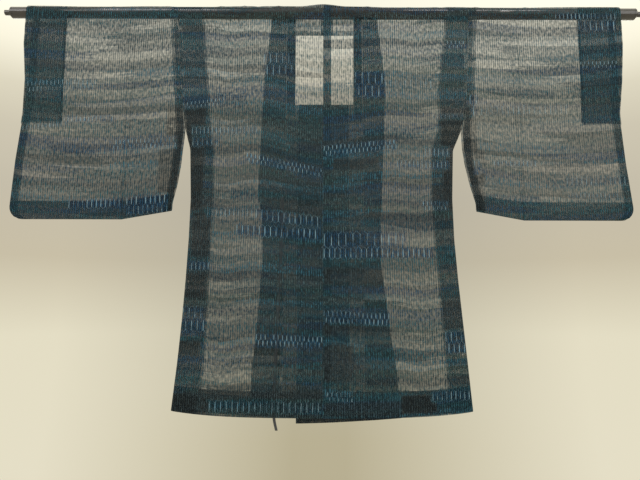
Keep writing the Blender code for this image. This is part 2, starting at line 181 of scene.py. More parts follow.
# The gauze: ribs run along the cloth, and picks of slubbed weft cross it
RIB = 0.00475
FIGURE = 0.0088  # across one figure of the woven rows
FIGURE_SEED = 7
FLOAT_HALF_WIDTH = 0.0009
FLOAT_EDGE = 0.0001  # how proud a float is at its edges, and how much more in the middle
FLOAT_RISE = 0.0003
FLOAT_LEAN = 0.0003
FLOAT_WIDTHS = (0.8, 1.05)  # each float is drawn between these shares of the usual width
MISSING = 0.01  # the share of floats that are missing, and of their forks
FORK_MISSING = 0.12
STEM_PLACES = np.array([0.12, 0.3, 0.5, 0.7, 0.88])  # shares of the row's height
STEM_WIDTHS = np.array([0.7, 1, 1, 1, 0.7])
FORK_REACH = np.array([0, 0.2, 0.45])  # shares of a figure's width
FORK_FALL = np.array([0, 0.09, 0.22])
FORK_WIDTHS = np.array([0.35, 0.25, 0.15])

# Stitches: the thread, how much of its spacing a stitch takes, and its rise in thread radii
THREAD = 0.0002
STITCH_SHARE = 0.6
STITCH_RISE = (-0.5, 0.8, 1.1, 0.8, -0.5)
STITCH = 0.005
HEM_STITCH = 0.012
BOTTOM_STITCH = 0.006
SEAM_STITCH_IN = 0.0012
EDGE_STITCH_IN = 0.0022
HEM_STITCH_IN = 0.0015
HEM_STITCHES_FROM = 0.002
HEM_STITCHES_END = 0.262
SIDE_STITCHES = (0.31, 0.862)
BOTTOM_STITCHES = (0.36, 0.63)
FRONT_STITCHES = (0.03, 0.87)
CENTRE_STITCHES = (0.025, 0.875)

WELD = 1e-6
SHARP = math.radians(40)
CELL = 0.0055  # the meshes' spacing
BODY_COLUMNS = 42
BAND_ROWS = 118
SLEEVE_COLUMNS = (20, 45)  # inside and outside the pressed fold
FACING_COLUMNS = 18
FOLD_SHARES = np.linspace(0, 1, 10)
PRESSED_COLUMNS = (0.0012, 0.0025, 0.0045)  # on both sides of a pressed fold
PRESSED_WIDTH = 0.0015
PRESSED_DENSER = 0.16  # how much less light passes where the fold was pressed
CREASE_FADE = 5
ARC = FOLD_RADIUS * math.pi / 2  # along the cloth from the top of the rod to a drop of 0
SIDES = {"left": -1, "right": 1}
BACK = 1
FRONT = -1


def read(table, column, drop):
    return np.interp(drop, table["drop"], table[column])


def ramp(value):
    value = np.clip(value, 0, 1)
    return value * value * (3 - 2 * value)


# Soft ridges (+) and troughs (-): the two ends as x and v, then width and height
CREASES = (
    (-0.430, 0.030, -0.430, 0.500, 0.0022, 0.0014),
    (-0.430, -0.500, -0.430, -0.030, 0.0022, 0.0014),
    (0.430, 0.030, 0.430, 0.500, 0.0022, 0.0014),
    (0.430, -0.500, 0.430, -0.030, 0.0022, 0.0014),
    (-0.642, 0.290, -0.636, 0.455, 0.014, -0.0020),
    (-0.575, 0.060, -0.585, 0.440, 0.026, 0.0018),
    (-0.520, 0.120, -0.505, 0.470, 0.020, -0.0016),
    (-0.372, 0.090, -0.365, 0.430, 0.018, -0.0018),
    (0.395, 0.070, 0.380, 0.450, 0.016, -0.0018),
    (0.500, 0.050, 0.520, 0.400, 0.024, 0.0016),
    (0.590, 0.200, 0.600, 0.480, 0.020, -0.0018),
    (0.640, 0.080, 0.632, 0.300, 0.012, 0.0012),
    (-0.600, -0.080, -0.590, -0.420, 0.022, 0.0018),
    (-0.500, -0.060, -0.515, -0.460, 0.026, -0.0016),
    (-0.380, -0.130, -0.372, -0.440, 0.016, 0.0014),
    (0.385, -0.060, 0.395, -0.400, 0.018, -0.0016),
    (0.530, -0.090, 0.515, -0.470, 0.024, 0.0018),
    (0.610, -0.180, 0.622, -0.460, 0.018, -0.0016),
    (-0.235, 0.120, -0.222, 0.560, 0.020, -0.0022),
    (-0.180, 0.300, -0.190, 0.860, 0.026, 0.0024),
    (-0.105, 0.480, -0.098, 0.905, 0.022, -0.0020),
    (0.205, 0.090, 0.214, 0.480, 0.022, 0.0020),
    (0.172, 0.380, 0.160, 0.900, 0.026, -0.0024),
    (0.245, 0.560, 0.262, 0.890, 0.018, 0.0018),
    (0.070, 0.600, 0.062, 0.905, 0.024, 0.0022),
    (-0.245, -0.100, -0.232, -0.520, 0.022, 0.0020),
    (-0.170, -0.330, -0.180, -0.880, 0.024, -0.0020),
    (0.215, -0.120, 0.208, -0.560, 0.020, -0.0020),
    (0.165, -0.420, 0.176, -0.890, 0.022, 0.0020),
    (-0.295, 0.262, -0.205, 0.345, 0.009, 0.0014),
    (-0.285, 0.300, -0.215, 0.420, 0.010, -0.0012),
    (0.300, 0.262, 0.215, 0.350, 0.009, 0.0014),
    (0.285, 0.310, 0.222, 0.430, 0.010, -0.0012),
    (-0.295, -0.262, -0.200, -0.350, 0.010, 0.0014),
    (0.295, -0.262, 0.205, -0.345, 0.010, 0.0014),
    (-0.100, 0.024, -0.104, -0.050, 0.005, 0.0009),
    (-0.150, 0.040, -0.143, -0.022, 0.007, -0.0010),
    (-0.176, 0.030, -0.180, -0.040, 0.004, 0.0010),
    (-0.232, 0.035, -0.226, -0.026, 0.006, 0.0010),
    (-0.352, 0.038, -0.347, -0.020, 0.006, 0.0008),
    (-0.470, 0.032, -0.476, -0.024, 0.005, 0.0007),
    (0.098, 0.030, 0.102, -0.044, 0.005, 0.0010),
    (0.141, 0.042, 0.136, -0.026, 0.006, -0.0009),
    (0.190, 0.034, 0.196, -0.036, 0.005, 0.0011),
    (0.268, 0.040, 0.262, -0.028, 0.007, -0.0009),
    (0.342, 0.032, 0.348, -0.022, 0.006, 0.0012),
    (0.388, 0.036, 0.384, -0.030, 0.005, 0.0011),
    (0.452, 0.028, 0.458, -0.024, 0.006, 0.0012),
    (-0.500, 0.055, -0.505, -0.050, 0.090, -0.0022),
    (-0.290, 0.050, -0.280, -0.055, 0.070, -0.0024),
    (0.185, 0.055, 0.180, -0.050, 0.075, -0.0024),
    (0.400, 0.050, 0.410, -0.055, 0.085, -0.0028),
)

# How far the picks droop at the middle of the back, at each drop
SAG = {
    "drop": (0, 0.16, 0.33, 0.45, 0.7, 0.88),
    "left": (0, 0.022, 0.034, 0.020, 0.006, 0),
    "right": (0, 0.014, 0.018, 0.004, -0.003, 0),
}
SAG_REACH = 0.165
WINDOW_SAG = 0.007  # its depth, its middle and half its width
WINDOW_MIDDLE = 0.205
WINDOW_WIDTH = 0.035
SLEEVE_SAG = 0.012  # its depth, where it starts and its length
SLEEVE_START = 0.33
SLEEVE_LENGTH = 0.34

# Rows of woven figures: where the row's top starts and ends as x and v, its height, then how many
# rows lie together and how blue the cloth behind them is. The back's are placed as on a flat sheet
# at the rod. Where the last number is below 0, the row is a plain dark band instead: painted shade
# where it is marked so below, and a band of dark weft elsewhere.
FIGURE_CHART = (
    (-0.309, 0.236, -0.221, 0.222, 0.0085, 2, 0.4),
    (-0.287, 0.292, -0.142, 0.290, 0.0170, 1, 0.5),
    (-0.285, 0.314, -0.221, 0.312, 0.0210, 1, 0.6),
    (-0.132, 0.118, -0.064, 0.116, 0.0270, 2, 0.7),
    (0.280, 0.087, 0.319, 0.087, 0.0095, 2, 0.6),
    (0.072, 0.161, 0.137, 0.164, 0.0290, 2, 1.0),
    (0.139, 0.181, 0.248, 0.180, 0.0220, 1, 0.3),
    (0.243, 0.261, 0.312, 0.261, 0.0110, 1, 0.5),
    (-0.165, 0.350, 0.000, 0.384, 0.0105, 2, 0.6),
    (-0.247, 0.472, -0.143, 0.474, 0.0190, 1, 0.3),
    (-0.143, 0.474, -0.004, 0.492, 0.0235, 1, 0.8),
    (-0.183, 0.508, -0.004, 0.518, 0.0235, 1, 0.9),
    (-0.277, 0.590, -0.234, 0.588, 0.0180, 1, 0.5),
    (0.003, 0.334, 0.160, 0.318, 0.0115, 2, 0.7),
    (0.223, 0.338, 0.274, 0.336, 0.0200, 1, 0.5),
    (0.162, 0.366, 0.273, 0.367, 0.0175, 1, 0.5),
    (0.216, 0.457, 0.269, 0.457, 0.0100, 2, 0.4),
    (0.003, 0.526, 0.180, 0.525, 0.0300, 1, 1.0),
    (0.003, 0.559, 0.236, 0.558, 0.0220, 1, 1.0),
    (-0.290, 0.684, -0.244, 0.683, 0.0250, 2, 0.8),
    (-0.137, 0.738, 0.000, 0.744, 0.0120, 2, 0.8),
    (-0.230, 0.872, 0.002, 0.874, 0.0230, 1, 0.25),
    (0.003, 0.690, 0.140, 0.696, 0.0125, 2, 0.8),
    (0.255, 0.732, 0.297, 0.732, 0.0225, 2, 0.8),
    (0.225, 0.853, 0.300, 0.850, 0.0190, 1, 0.6),
    (0.010, 0.855, 0.060, 0.857, 0.0090, 2, 0.3),
    (0.003, 0.874, 0.162, 0.872, 0.0300, 1, -0.35),
    (-0.657, 0.186, -0.507, 0.180, 0.0130, 2, 0.3),
    (-0.659, 0.290, -0.560, 0.278, 0.0120, 1, 0.4),
    (-0.570, 0.268, -0.458, 0.266, 0.0130, 1, 0.9),
    (-0.462, 0.322, -0.322, 0.314, 0.0115, 2, 0.5),
    (-0.546, 0.456, -0.432, 0.452, 0.0195, 1, 1.0),
    (-0.422, 0.448, -0.334, 0.442, 0.0200, 2, 0.9),
    (0.528, 0.020, 0.666, 0.020, 0.0150, 1, 0.8),
    (0.579, 0.037, 0.664, 0.037, 0.0260, 1, 0.8),
    (0.577, 0.136, 0.660, 0.135, 0.0085, 2, 0.4),
    (0.326, 0.213, 0.344, 0.213, 0.0260, 2, 0.8),
    (0.350, 0.240, 0.540, 0.238, 0.0230, 1, 0.3),
    (0.330, 0.366, 0.345, 0.366, 0.0140, 2, 0.7),
    (0.373, 0.366, 0.464, 0.366, 0.0135, 1, 0.7),
    (0.529, 0.400, 0.655, 0.400, 0.0210, 1, 0.3),
    (0.530, 0.438, 0.640, 0.438, 0.0110, 1, 0.4),
    (-0.280, -0.210, -0.170, -0.206, 0.0170, 2, 0.7),
    (-0.200, -0.430, -0.095, -0.434, 0.0230, 1, 0.9),
    (-0.270, -0.610, -0.160, -0.606, 0.0120, 2, 0.6),
    (-0.060, -0.330, 0.050, -0.334, 0.0240, 1, 0.9),
    (-0.075, -0.520, 0.040, -0.516, 0.0120, 2, 0.7),
    (-0.050, -0.700, 0.052, -0.704, 0.0260, 2, 1.0),
    (0.100, -0.300, 0.250, -0.304, 0.0120, 2, 0.6),
    (0.120, -0.480, 0.260, -0.476, 0.0240, 2, 1.0),
    (0.100, -0.770, 0.270, -0.776, 0.0200, 1, 0.7),
    (-0.640, -0.150, -0.520, -0.148, 0.0120, 2, 0.4),
    (-0.600, -0.330, -0.400, -0.334, 0.0240, 1, 0.8),
    (-0.460, -0.440, -0.350, -0.436, 0.0180, 2, 0.8),
    (0.360, -0.190, 0.520, -0.194, 0.0220, 1, 0.7),
    (0.480, -0.350, 0.640, -0.346, 0.0120, 2, 0.5),
    (0.350, -0.440, 0.470, -0.442, 0.0220, 1, 0.9),
    (-0.287, 0.614, -0.246, 0.614, 0.0500, 1, -0.8),
    (-0.280, 0.483, -0.240, 0.483, 0.0950, 1, -0.6),
    (-0.307, 0.753, -0.254, 0.753, 0.0300, 1, -0.7),
    (-0.318, 0.856, -0.255, 0.860, 0.0400, 1, -0.9),
    (-0.255, 0.846, 0.000, 0.850, 0.0550, 1, -0.5),
    (-0.147, 0.767, -0.086, 0.767, 0.0330, 1, -0.6),
    (-0.128, 0.451, -0.004, 0.455, 0.0350, 1, -0.6),
    (-0.069, 0.326, -0.001, 0.328, 0.0240, 1, -0.5),
    (0.002, 0.602, 0.129, 0.600, 0.0340, 1, -0.6),
    (0.002, 0.717, 0.146, 0.717, 0.0240, 1, -0.6),
    (0.002, 0.763, 0.063, 0.763, 0.0700, 1, -0.5),
    (0.026, 0.366, 0.120, 0.362, 0.0220, 1, -0.8),
    (0.162, 0.862, 0.232, 0.860, 0.0340, 1, -0.9),
    (0.232, 0.422, 0.276, 0.422, 0.0360, 1, -0.6),
    (0.250, 0.669, 0.293, 0.669, 0.0600, 1, -0.4),
    # Painted shade: these four darken the body's sides and the sleeves' inner edges below the armholes,
    # where the coat's inside lies in shadow.
    (-0.345, 0.245, -0.260, 0.245, 0.1000, 1, -0.9),
    (-0.358, 0.345, -0.260, 0.345, 0.1300, 1, -0.9),
    (0.260, 0.245, 0.338, 0.245, 0.1000, 1, -0.9),
    (0.260, 0.345, 0.350, 0.345, 0.1300, 1, -0.9),
    # Painted shade along the front hem, which lies in shadow behind the back.
    (-0.055, -0.906, 0.180, -0.900, 0.0400, 1, -1.0),
)

# Where each piece was cut from the length of cloth, across and along, and how much sheerer it is
CUT_FROM = {
    "body_left": (0.00, 0.13, -0.012),
    "body_right": (0.43, 2.61, -0.006),
    "front_band_left": (0.91, 5.2, 0.03),
    "front_band_right": (1.37, 7.33, 0.03),
    "neck_band_left": (1.82, 9.47, -0.09),
    "neck_band_right": (2.29, 10.9, -0.06),
    "back_neck_facing": (2.71, 12.1, 0),
    "sleeve_left": (3.14, 13.6, 0.015),
    "sleeve_right": (3.60, 15.2, 0.035),
    "sleeve_facing_left": (4.07, 17.7, -0.06),
    "sleeve_facing_right": (4.52, 19.4, -0.06),
}

# Studio
FLOOR_LEVEL = -1.65
FLOOR_SIZE = 3.0
MOST_LAYERS = 32
# The wall's tones by height in degrees, behind the coat and to its sides. Both are painted darker
# between about 4 and 18 degrees, and the middle darker still: the coat's painted shadow on the wall.
WORLD_MIDDLE_SHADOWED = (
    (-30, (0.47, 0.42, 0.28)),
    (-15, (0.48, 0.43, 0.29)),
    (-9, (0.49, 0.45, 0.33)),
    (4, (0.45, 0.42, 0.33)),
    (12, (0.43, 0.40, 0.32)),
    (18, (0.44, 0.41, 0.32)),
    (22, (0.55, 0.51, 0.40)),
    (26, (0.82, 0.77, 0.61)),
    (30, (0.95, 0.91, 0.74)),
    (36, (0.94, 0.91, 0.76)),
)
WORLD_SIDES = (
    (-30, (0.79, 0.74, 0.58)),
    (-3, (0.775, 0.725, 0.555)),
    (5, (0.58, 0.52, 0.385)),
    (12, (0.56, 0.51, 0.40)),
    (18, (0.62, 0.57, 0.445)),
    (22, (0.73, 0.68, 0.53)),
    (26, (0.98, 0.93, 0.75)),
    (30, (1.10, 1.06, 0.88)),
    (36, (1.10, 1.07, 0.90)),
)
SIDES_FROM = (0.05, 0.47)  # how far aside the middle's tones give way to those of the sides
LIGHTS = (
    ("key", (-1.3, -2.3, 0.9), (0, 0, -0.4), (1.6, 1.2), 26),
    ("fill", (1.6, -2.1, 0.3), (0, 0, -0.4), (1.4, 1.4), 14),
    ("top_left", (-1.0, -1.55, 1.65), (-1.0, 0, 0), (0.9, 0.16), 10),
    ("top_right", (1.0, -1.55, 1.65), (1.0, 0, 0), (0.9, 0.16), 10),
    ("rear_key", (1.4, 2.2, 0.8), (0, 0, -0.4), (1.6, 1.2), 22),
    ("rear_fill", (-1.5, 2.2, 0.2), (0, 0, -0.4), (1.4, 1.4), 12),
)

# Camera

CAMERA_AT = (-0.006, -1.0125, -0.655)
CAMERA_PITCH = 7.7
CAMERA_ROLL = 0.16
CAMERA_LENS = 27.06
CHART_DISTANCE = 1.0145


def make_camera():
    data = bpy.data.cameras.new("camera")
    data.lens = CAMERA_LENS
    data.sensor_width = 36
    data.clip_start = 0.01
    camera = bpy.data.objects.new("camera", data)
    turn = Matrix.Rotation(math.radians(90 + CAMERA_PITCH), 4, "X")
    turn = turn @ Matrix.Rotation(math.radians(CAMERA_ROLL), 4, "Z")
    camera.matrix_world = Matrix.Translation(CAMERA_AT) @ turn
    bpy.context.scene.collection.objects.link(camera)
    bpy.context.scene.camera = camera


# Materials


class Graph:
    """The node tree of a material or of the world, built from short calls."""

    def __init__(self, owner):
        self.owner = owner
        owner.use_nodes = True
        self.nodes = owner.node_tree.nodes

    def feed(self, socket, value):
        if isinstance(value, bpy.types.NodeSocket):
            self.owner.node_tree.links.new(value, socket)
        else:
            socket.default_value = value

    def node(self, kind, inputs, **settings):
        """A new node with its settings, and with values or other nodes' outputs as its inputs."""
        node = self.nodes.new("ShaderNode" + kind)
        for name, setting in settings.items():
            setattr(node, name, setting)
        for socket, value in inputs.items():
            self.feed(node.inputs[socket], value)
        return node

    def math(self, operation, first, second=0.0, clamp=False):
        node = self.node("Math", {0: first, 1: second}, operation=operation, use_clamp=clamp)
        return node.outputs[0]

    def add(self, first, second):
        return self.math("ADD", first, second)

    def scale(self, first, second):
        return self.math("MULTIPLY", first, second)

    def place(self):
        """Reads where the weave is: u across the length of cloth and v along it."""
        weave = self.node("UVMap", {}, uv_map="weave").outputs[0]
        self.u, self.v = self.node("SeparateXYZ", {0: weave}).outputs[:2]
        return self.u, self.v

    def vector(self, x, y):
        return self.node("CombineXYZ", {0: x, 1: y}).outputs[0]

    def attribute(self, name):
        return self.node("Attribute", {}, attribute_name=name).outputs["Fac"]

    def noise(self, vector, scale=1.0, detail=1.0, dimensions="2D"):
        inputs = {"Vector": vector, "Scale": scale, "Detail": detail}
        return self.node("TexNoise", inputs, noise_dimensions=dimensions).outputs[0]

    def grain(self, across, along, detail=1.0):
        """Noise on the weave, with this many grains to a metre both ways."""
        place = self.vector(self.scale(self.u, across), self.scale(self.v, along))
        return self.noise(place, detail=detail)

    def wave(self, along, period):
        """0 to 1 and back, once in each period along."""
        turn = self.scale(along, 2 * math.pi / period)
        return self.add(self.scale(self.math("COSINE", turn), 0.5), 0.5)

    def ramp(self, value, stops, interpolation="LINEAR"):
        node = self.node("ValToRGB", {0: value})
        node.color_ramp.interpolation = interpolation
        elements = node.color_ramp.elements
        while len(elements) < len(stops):
            elements.new(0.5)
        for element, (position, colour) in zip(elements, stops):
            element.position = position
            element.color = (*colour, 1)
        return node.outputs[0]

    def mix(self, factor, first, second, blend="MIX"):
        node = self.node("Mix", {0: factor}, data_type="RGBA", blend_type=blend)
        colours = [socket for socket in node.inputs if socket.type == "RGBA"]
        self.feed(colours[0], first)
        self.feed(colours[1], second)
        return [socket for socket in node.outputs if socket.type == "RGBA"][0]

    def finish(self, inputs, height=None, distance=None):
        """Feeds the material's shader, with a bump where a height is given."""
        if height is not None:
            bump = self.node("Bump", {"Strength": 1.0, "Distance": distance, "Height": height})
            inputs["Normal"] = bump.outputs[0]
        for socket, value in inputs.items():
            self.feed(self.nodes["Principled BSDF"].inputs[socket], value)
        return self.owner


WEFT_YARNS = (
    (0.00, (0.006, 0.025, 0.034)),
    (0.15, (0.012, 0.028, 0.031)),
    (0.28, (0.006, 0.021, 0.040)),
    (0.41, (0.008, 0.031, 0.041)),
    (0.54, (0.014, 0.024, 0.029)),
    (0.64, (0.005, 0.018, 0.027)),
    (0.77, (0.010, 0.037, 0.054)),
    (0.90, (0.017, 0.031, 0.035)),
)
NAVY_YARN = (0.004, 0.019, 0.041, 1)
# The colour of the dark bands: dark weft, and painted shade where the coat's inside lies in shadow.
DARK_WEFT_AND_PAINTED_SHADE = (0.016, 0.027, 0.033, 1)
FIGURE_YARNS = (
    (0.30, (0.05, 0.12, 0.17)),
    (0.45, (0.12, 0.22, 0.29)),
    (0.60, (0.17, 0.28, 0.34)),
    (0.75, (0.11, 0.25, 0.36)),
)
PICK = 0.0016
BLOCK_LENGTH = 0.24
BLOCK_HEIGHT = 0.015
RAGGED = 0.05  # how far a block's picks end apart
WANDER = 0.0022  # how far the ribs stray over a few centimetres
DRIFT = 0.008  # and over a whole panel
FLICKER = 2.8  # the contrast of the slubs
OPENNESS = 0.412  # the share of light that one layer lets through, and what changes it:
BLOCK_CHANGE = -0.28
RIB_CHANGE = -0.13
RIB_FLICKER_CHANGE = -0.28
FLICKER_CHANGE = -0.33
DARK_CHANGE = -0.12


def gauze_material():
    """Open ribbed gauze: paler ribs, darker gaps that let light through, and blocks of slubbed weft.
    The ribs are paler partly in their yarn and partly by a painted highlight where they catch the
    light.
    """
    g = Graph(bpy.data.materials.new("gauze"))
    u, v = g.place()
    pick = g.math("FLOOR", g.scale(v, 1 / PICK))
    end = g.node("TexWhiteNoise", {"W": pick}, noise_dimensions="1D").outputs["Value"]
    ragged = g.add(u, g.scale(g.add(end, -0.5), RAGGED))
    place = g.vector(g.scale(ragged, 1 / BLOCK_LENGTH), g.scale(v, 1 / BLOCK_HEIGHT))
    inputs = {"Vector": place, "Scale": 1, "Randomness": 0.9}
    blocks = g.node("TexVoronoi", inputs, voronoi_dimensions="2D", distance="CHEBYCHEV")
    draws = g.node("SeparateColor", {0: blocks.outputs["Color"]}).outputs
    yarn = g.ramp(draws[0], WEFT_YARNS, "CONSTANT")
    density = g.add(draws[1], -0.5)
    wander = g.add(g.grain(26, 34), -0.5)
    drift = g.add(g.grain(5, 4), -0.5)
    rib = g.wave(g.add(u, g.add(g.scale(wander, WANDER), g.scale(drift, DRIFT))), RIB)
    flicker = g.scale(g.add(g.grain(210, 120, 2.0), -0.5), FLICKER)
    flicker = g.math("ADD", flicker, 0.5, clamp=True)
    navy = g.attribute("navy")
    # The dark bands (navy below 0) take the dark colour, are darkened further and let less light
    # through: dark weft, and painted shade.
    dark_weft_and_shade = g.math("MAXIMUM", g.scale(navy, -1), 0.0)
    navy = g.math("MAXIMUM", navy, 0.0)
    colour = g.mix(navy, yarn, NAVY_YARN)
    colour = g.mix(g.math("MULTIPLY", dark_weft_and_shade, 2, clamp=True), colour, DARK_WEFT_AND_PAINTED_SHADE)
    # Painted highlight: the ribs are drawn brighter where they catch the light, besides their paler
    # yarn.
    light = g.add(0.4, g.scale(rib, g.scale(flicker, 2.4)))
    light = g.scale(light, g.add(1, g.scale(dark_weft_and_shade, -0.6)))
    openness = g.add(g.add(OPENNESS, g.attribute("sheer")), g.scale(density, BLOCK_CHANGE))
    ribs = g.add(RIB_CHANGE, g.scale(flicker, RIB_FLICKER_CHANGE))
    openness = g.add(openness, g.scale(g.add(rib, -0.5), ribs))
    openness = g.add(openness, g.scale(g.add(flicker, -0.5), FLICKER_CHANGE))
    openness = g.add(openness, g.scale(g.add(navy, dark_weft_and_shade), DARK_CHANGE))
    inputs = {
        "Base Color": g.mix(1.0, colour, light, "MULTIPLY"),
        "Alpha": g.math("SUBTRACT", 1.0, openness, clamp=True),
        "Roughness": 0.7,
        "Specular IOR Level": 0.12,
        "Sheen Weight": 0.02,
        "Sheen Roughness": 0.5,
    }
    return g.finish(inputs, rib, 0.0005)


def figure_material():
    """The pale floats of the woven figures, steel blue to greyish, fading at random."""
    g = Graph(bpy.data.materials.new("figure_yarn"))
    u, v = g.place()
    tone = g.grain(22, 45)
    twist = g.wave(g.add(v, g.scale(u, 0.6)), 0.0011)
    shade = g.add(g.scale(twist, 0.3), 0.8)
    strength = g.add(0.5, g.scale(g.attribute("navy"), 0.6))
    inputs = {
        "Base Color": g.mix(1.0, g.ramp(tone, FIGURE_YARNS), shade, "MULTIPLY"),
        "Alpha": g.scale(strength, g.add(0.1, g.scale(tone, 1.1))),
        "Roughness": 0.5,
        "Sheen Weight": 0.2,
    }
    return g.finish(inputs, twist, 0.0002)


def thread_material():
    g = Graph(bpy.data.materials.new("sewing_thread"))
    ply = g.wave(g.add(*g.place()), 0.0006)
    stops = ((0, (0.012, 0.022, 0.028)), (1, (0.035, 0.05, 0.058)))
    return g.finish({"Base Color": g.ramp(ply, stops), "Roughness": 0.55}, ply, 0.0001)


def tie_material():
    """Narrow folded tie: dark brown-black crepe with a fine cross grain."""
    g = Graph(bpy.data.materials.new("tie_cloth"))
    u, v = g.place()
    mixed = g.add(g.scale(g.grain(700, 1300, 2.0), 0.6), g.scale(g.wave(v, 0.0009), 0.4))
    stops = ((0.25, (0.02, 0.024, 0.028)), (0.8, (0.07, 0.072, 0.076)))
    inputs = {"Base Color": g.ramp(mixed, stops), "Roughness": 0.8, "Sheen Weight": 0.25}
    return g.finish(inputs, mixed, 0.0003)


def rod_material():
    """Dark satin coating with a fine orange peel and faint dusty scuffs along the rod."""
    g = Graph(bpy.data.materials.new("rod_coating"))
    place = g.node("TexCoord", {}).outputs["Object"]
    scuff = g.noise(place, 38, 3.0, "3D")
    stops = ((0.35, (0.014, 0.012, 0.012)), (0.75, (0.034, 0.029, 0.027)))
    inputs = {
        "Base Color": g.ramp(scuff, stops),
        "Roughness": g.add(0.24, g.scale(scuff, 0.16)),
        "Metallic": 0.15,
        "Coat Weight": 0.6,
        "Coat Roughness": 0.1,
    }
    return g.finish(inputs, g.noise(place, 900, 2.0, "3D"), 0.00008)


def floor_material():
    g = Graph(bpy.data.materials.new("floor"))
    mottle = g.noise(g.node("TexCoord", {}).outputs["Object"], 3.0, 4.0, "3D")
    stops = ((0.3, (0.60, 0.56, 0.46)), (0.7, (0.66, 0.62, 0.52)))
    return g.finish({"Base Color": g.ramp(mottle, stops), "Roughness": 0.7})


# The cloth's form


def by_side(table, side, drop):
    return np.where(np.asarray(side) < 0, read(table, "left", drop), read(table, "right", drop))


def body_edge(side, drop):
    return by_side(BODY_EDGES, side, drop)


def front_seam(name):
    """Where the neck band and the front band join the body."""
    return NECK_HALF_WIDTHS[name] + NECK_BAND_WIDTH


def arch(x):
    """How far the back neck stands above the shoulder fold."""
    return ARCH_HEIGHT * ramp(1 - np.abs(x) / ARCH_HALF_WIDTH)


def pinched(depth, to_edge, sewn):
    """Brings the back and the front together along a sewn edge."""
    return np.where(sewn, SEAM_GAP + (depth - SEAM_GAP) * np.sqrt(ramp(to_edge / PINCH)), depth)


def body_depth(x, drop, leg):
    side = read(BODY_DEPTHS, "side", drop)
    middle = read(BODY_DEPTHS, "middle", drop)
    edge = body_edge(x, drop)
    out = np.clip(np.abs(x) / edge, 0, 1)
    depth = side + (middle - side) * (1 - out**CROWN)
    return pinched(depth, edge - np.abs(x), drop > SIDE_SEAM_TOP)


def left_front_depth(x, drop, leg):
    """The left front stands out, so that it clears the right front under it."""
    across = ramp((OVERLAP_START - np.abs(np.minimum(x, 0))) / (OVERLAP_START - OVERLAP_FULL))
    lift = OVERLAP_LIFT * across * ramp(drop / NECK_DROP)
    return body_depth(x, drop, leg) + np.where(leg == FRONT, lift, 0)


FRONT_DEPTHS = {"left": left_front_depth, "right": body_depth}


def front_hem(side, x):
    name = "left" if side < 0 else "right"
    lowest = LEFT_FRONT_HEM if side < 0 else RIGHT_FRONT_HEM
    edge = body_edge(side, SIDE_HEM)
    rest = (side * x + FRONT_OVERLAP[name]) / (edge + FRONT_OVERLAP[name])
    return SIDE_HEM + (lowest - SIDE_HEM) * (1 - np.maximum(rest, 0) ** FRONT_HEM_CURVE)


def back_hem(side, x):
    out = x / body_edge(side, SIDE_HEM)
    return BACK_HEM - (BACK_HEM - SIDE_HEM) * out**4


def sleeve_outer_edge(side, drop):
    below = np.clip(drop - (SLEEVE_DROP - SLEEVE_CORNER), 0, SLEEVE_CORNER)
    corner = SLEEVE_CORNER - np.sqrt(SLEEVE_CORNER**2 - below**2)
    return by_side(SLEEVE_OUTER_EDGES, side, drop) - corner


def sleeve_inner_edge(side, drop):
    free = by_side(SLEEVE_INNER_EDGES, side, drop)
    return np.where(drop <= ARMHOLE_DROP, body_edge(side, drop) + SEAM_GAP, free)


def sleeve_bottom(x):
    """Drop of the sleeve's bottom edge, which turns up from the pressed fold to the body."""
    inner = by_side(SLEEVE_INNER_EDGES, x, SLEEVE_INNER_DROP)
    share = np.clip((CREASE - np.abs(x)) / (CREASE - inner), 0, 1)
    return SLEEVE_DROP - (SLEEVE_DROP - SLEEVE_INNER_DROP) * share


def sleeve_depth(x, drop, leg):
    inner = sleeve_inner_edge(x, drop)
    outer = sleeve_outer_edge(x, drop)
    across = np.clip((np.abs(x) - inner) / (outer - inner), 0, 1)
    depth = read(SLEEVE_DEPTHS, "armhole", drop) * (1 - across) * (1 - 2 * across)
    depth = depth + read(SLEEVE_DEPTHS, "middle", drop) * 4 * across * (1 - across)
    depth = depth + read(SLEEVE_DEPTHS, "mouth", drop) * across * (2 * across - 1)
    depth = pinched(depth, outer - np.abs(x), drop > MOUTH_DROP)
    return pinched(depth, sleeve_bottom(x) - drop, drop > SLEEVE_DROP - SLEEVE_BOTTOM_ALLOWANCE)


def creases(x, v):
    """How far the soft ridges and troughs move the cloth out."""
    total = np.zeros(np.broadcast(x, v).shape)
    for x0, v0, x1, v1, width, height in CREASES:
        run = math.hypot(x1 - x0, v1 - v0)
        along = ((x - x0) * (x1 - x0) + (v - v0) * (v1 - v0)) / run**2
        aside = ((x - x0) * (v1 - v0) - (v - v0) * (x1 - x0)) / run
        fade = ramp(CREASE_FADE * along) * ramp(CREASE_FADE * (1 - along))
        total = total + height * fade * np.exp(-((aside / width) ** 2))
    return total


def surface(x, v, inward, depth_at):
    """Points of the cloth at x and v, this far inward from its outside.

    v runs along the cloth from the top of the rod, + down the back and - down the front.
    """
    x, v, inward = np.broadcast_arrays(np.asarray(x, float), v, inward)
    drop = np.abs(v) - ARC
    leg = np.where(v > 0, BACK, FRONT)
    angle = v / FOLD_RADIUS
    relief = creases(x, v)
    radius = FOLD_RADIUS + arch(x) * np.cos(angle) + relief - inward
    radius = np.maximum(radius, ROD_CLEAR - inward / 4)
    depth = depth_at(x, np.maximum(drop, 0), leg)
    relief = relief * ramp((depth - SEAM_GAP) / CREASE_ROOM)
    depth = np.maximum(depth + relief - inward, LEAST_DEPTH)
    over = drop < 0
    y = np.where(over, -radius * np.sin(angle), -leg * depth)
    z = np.where(over, radius * np.cos(angle), -drop)
    return np.stack([x, y, z], axis=-1)


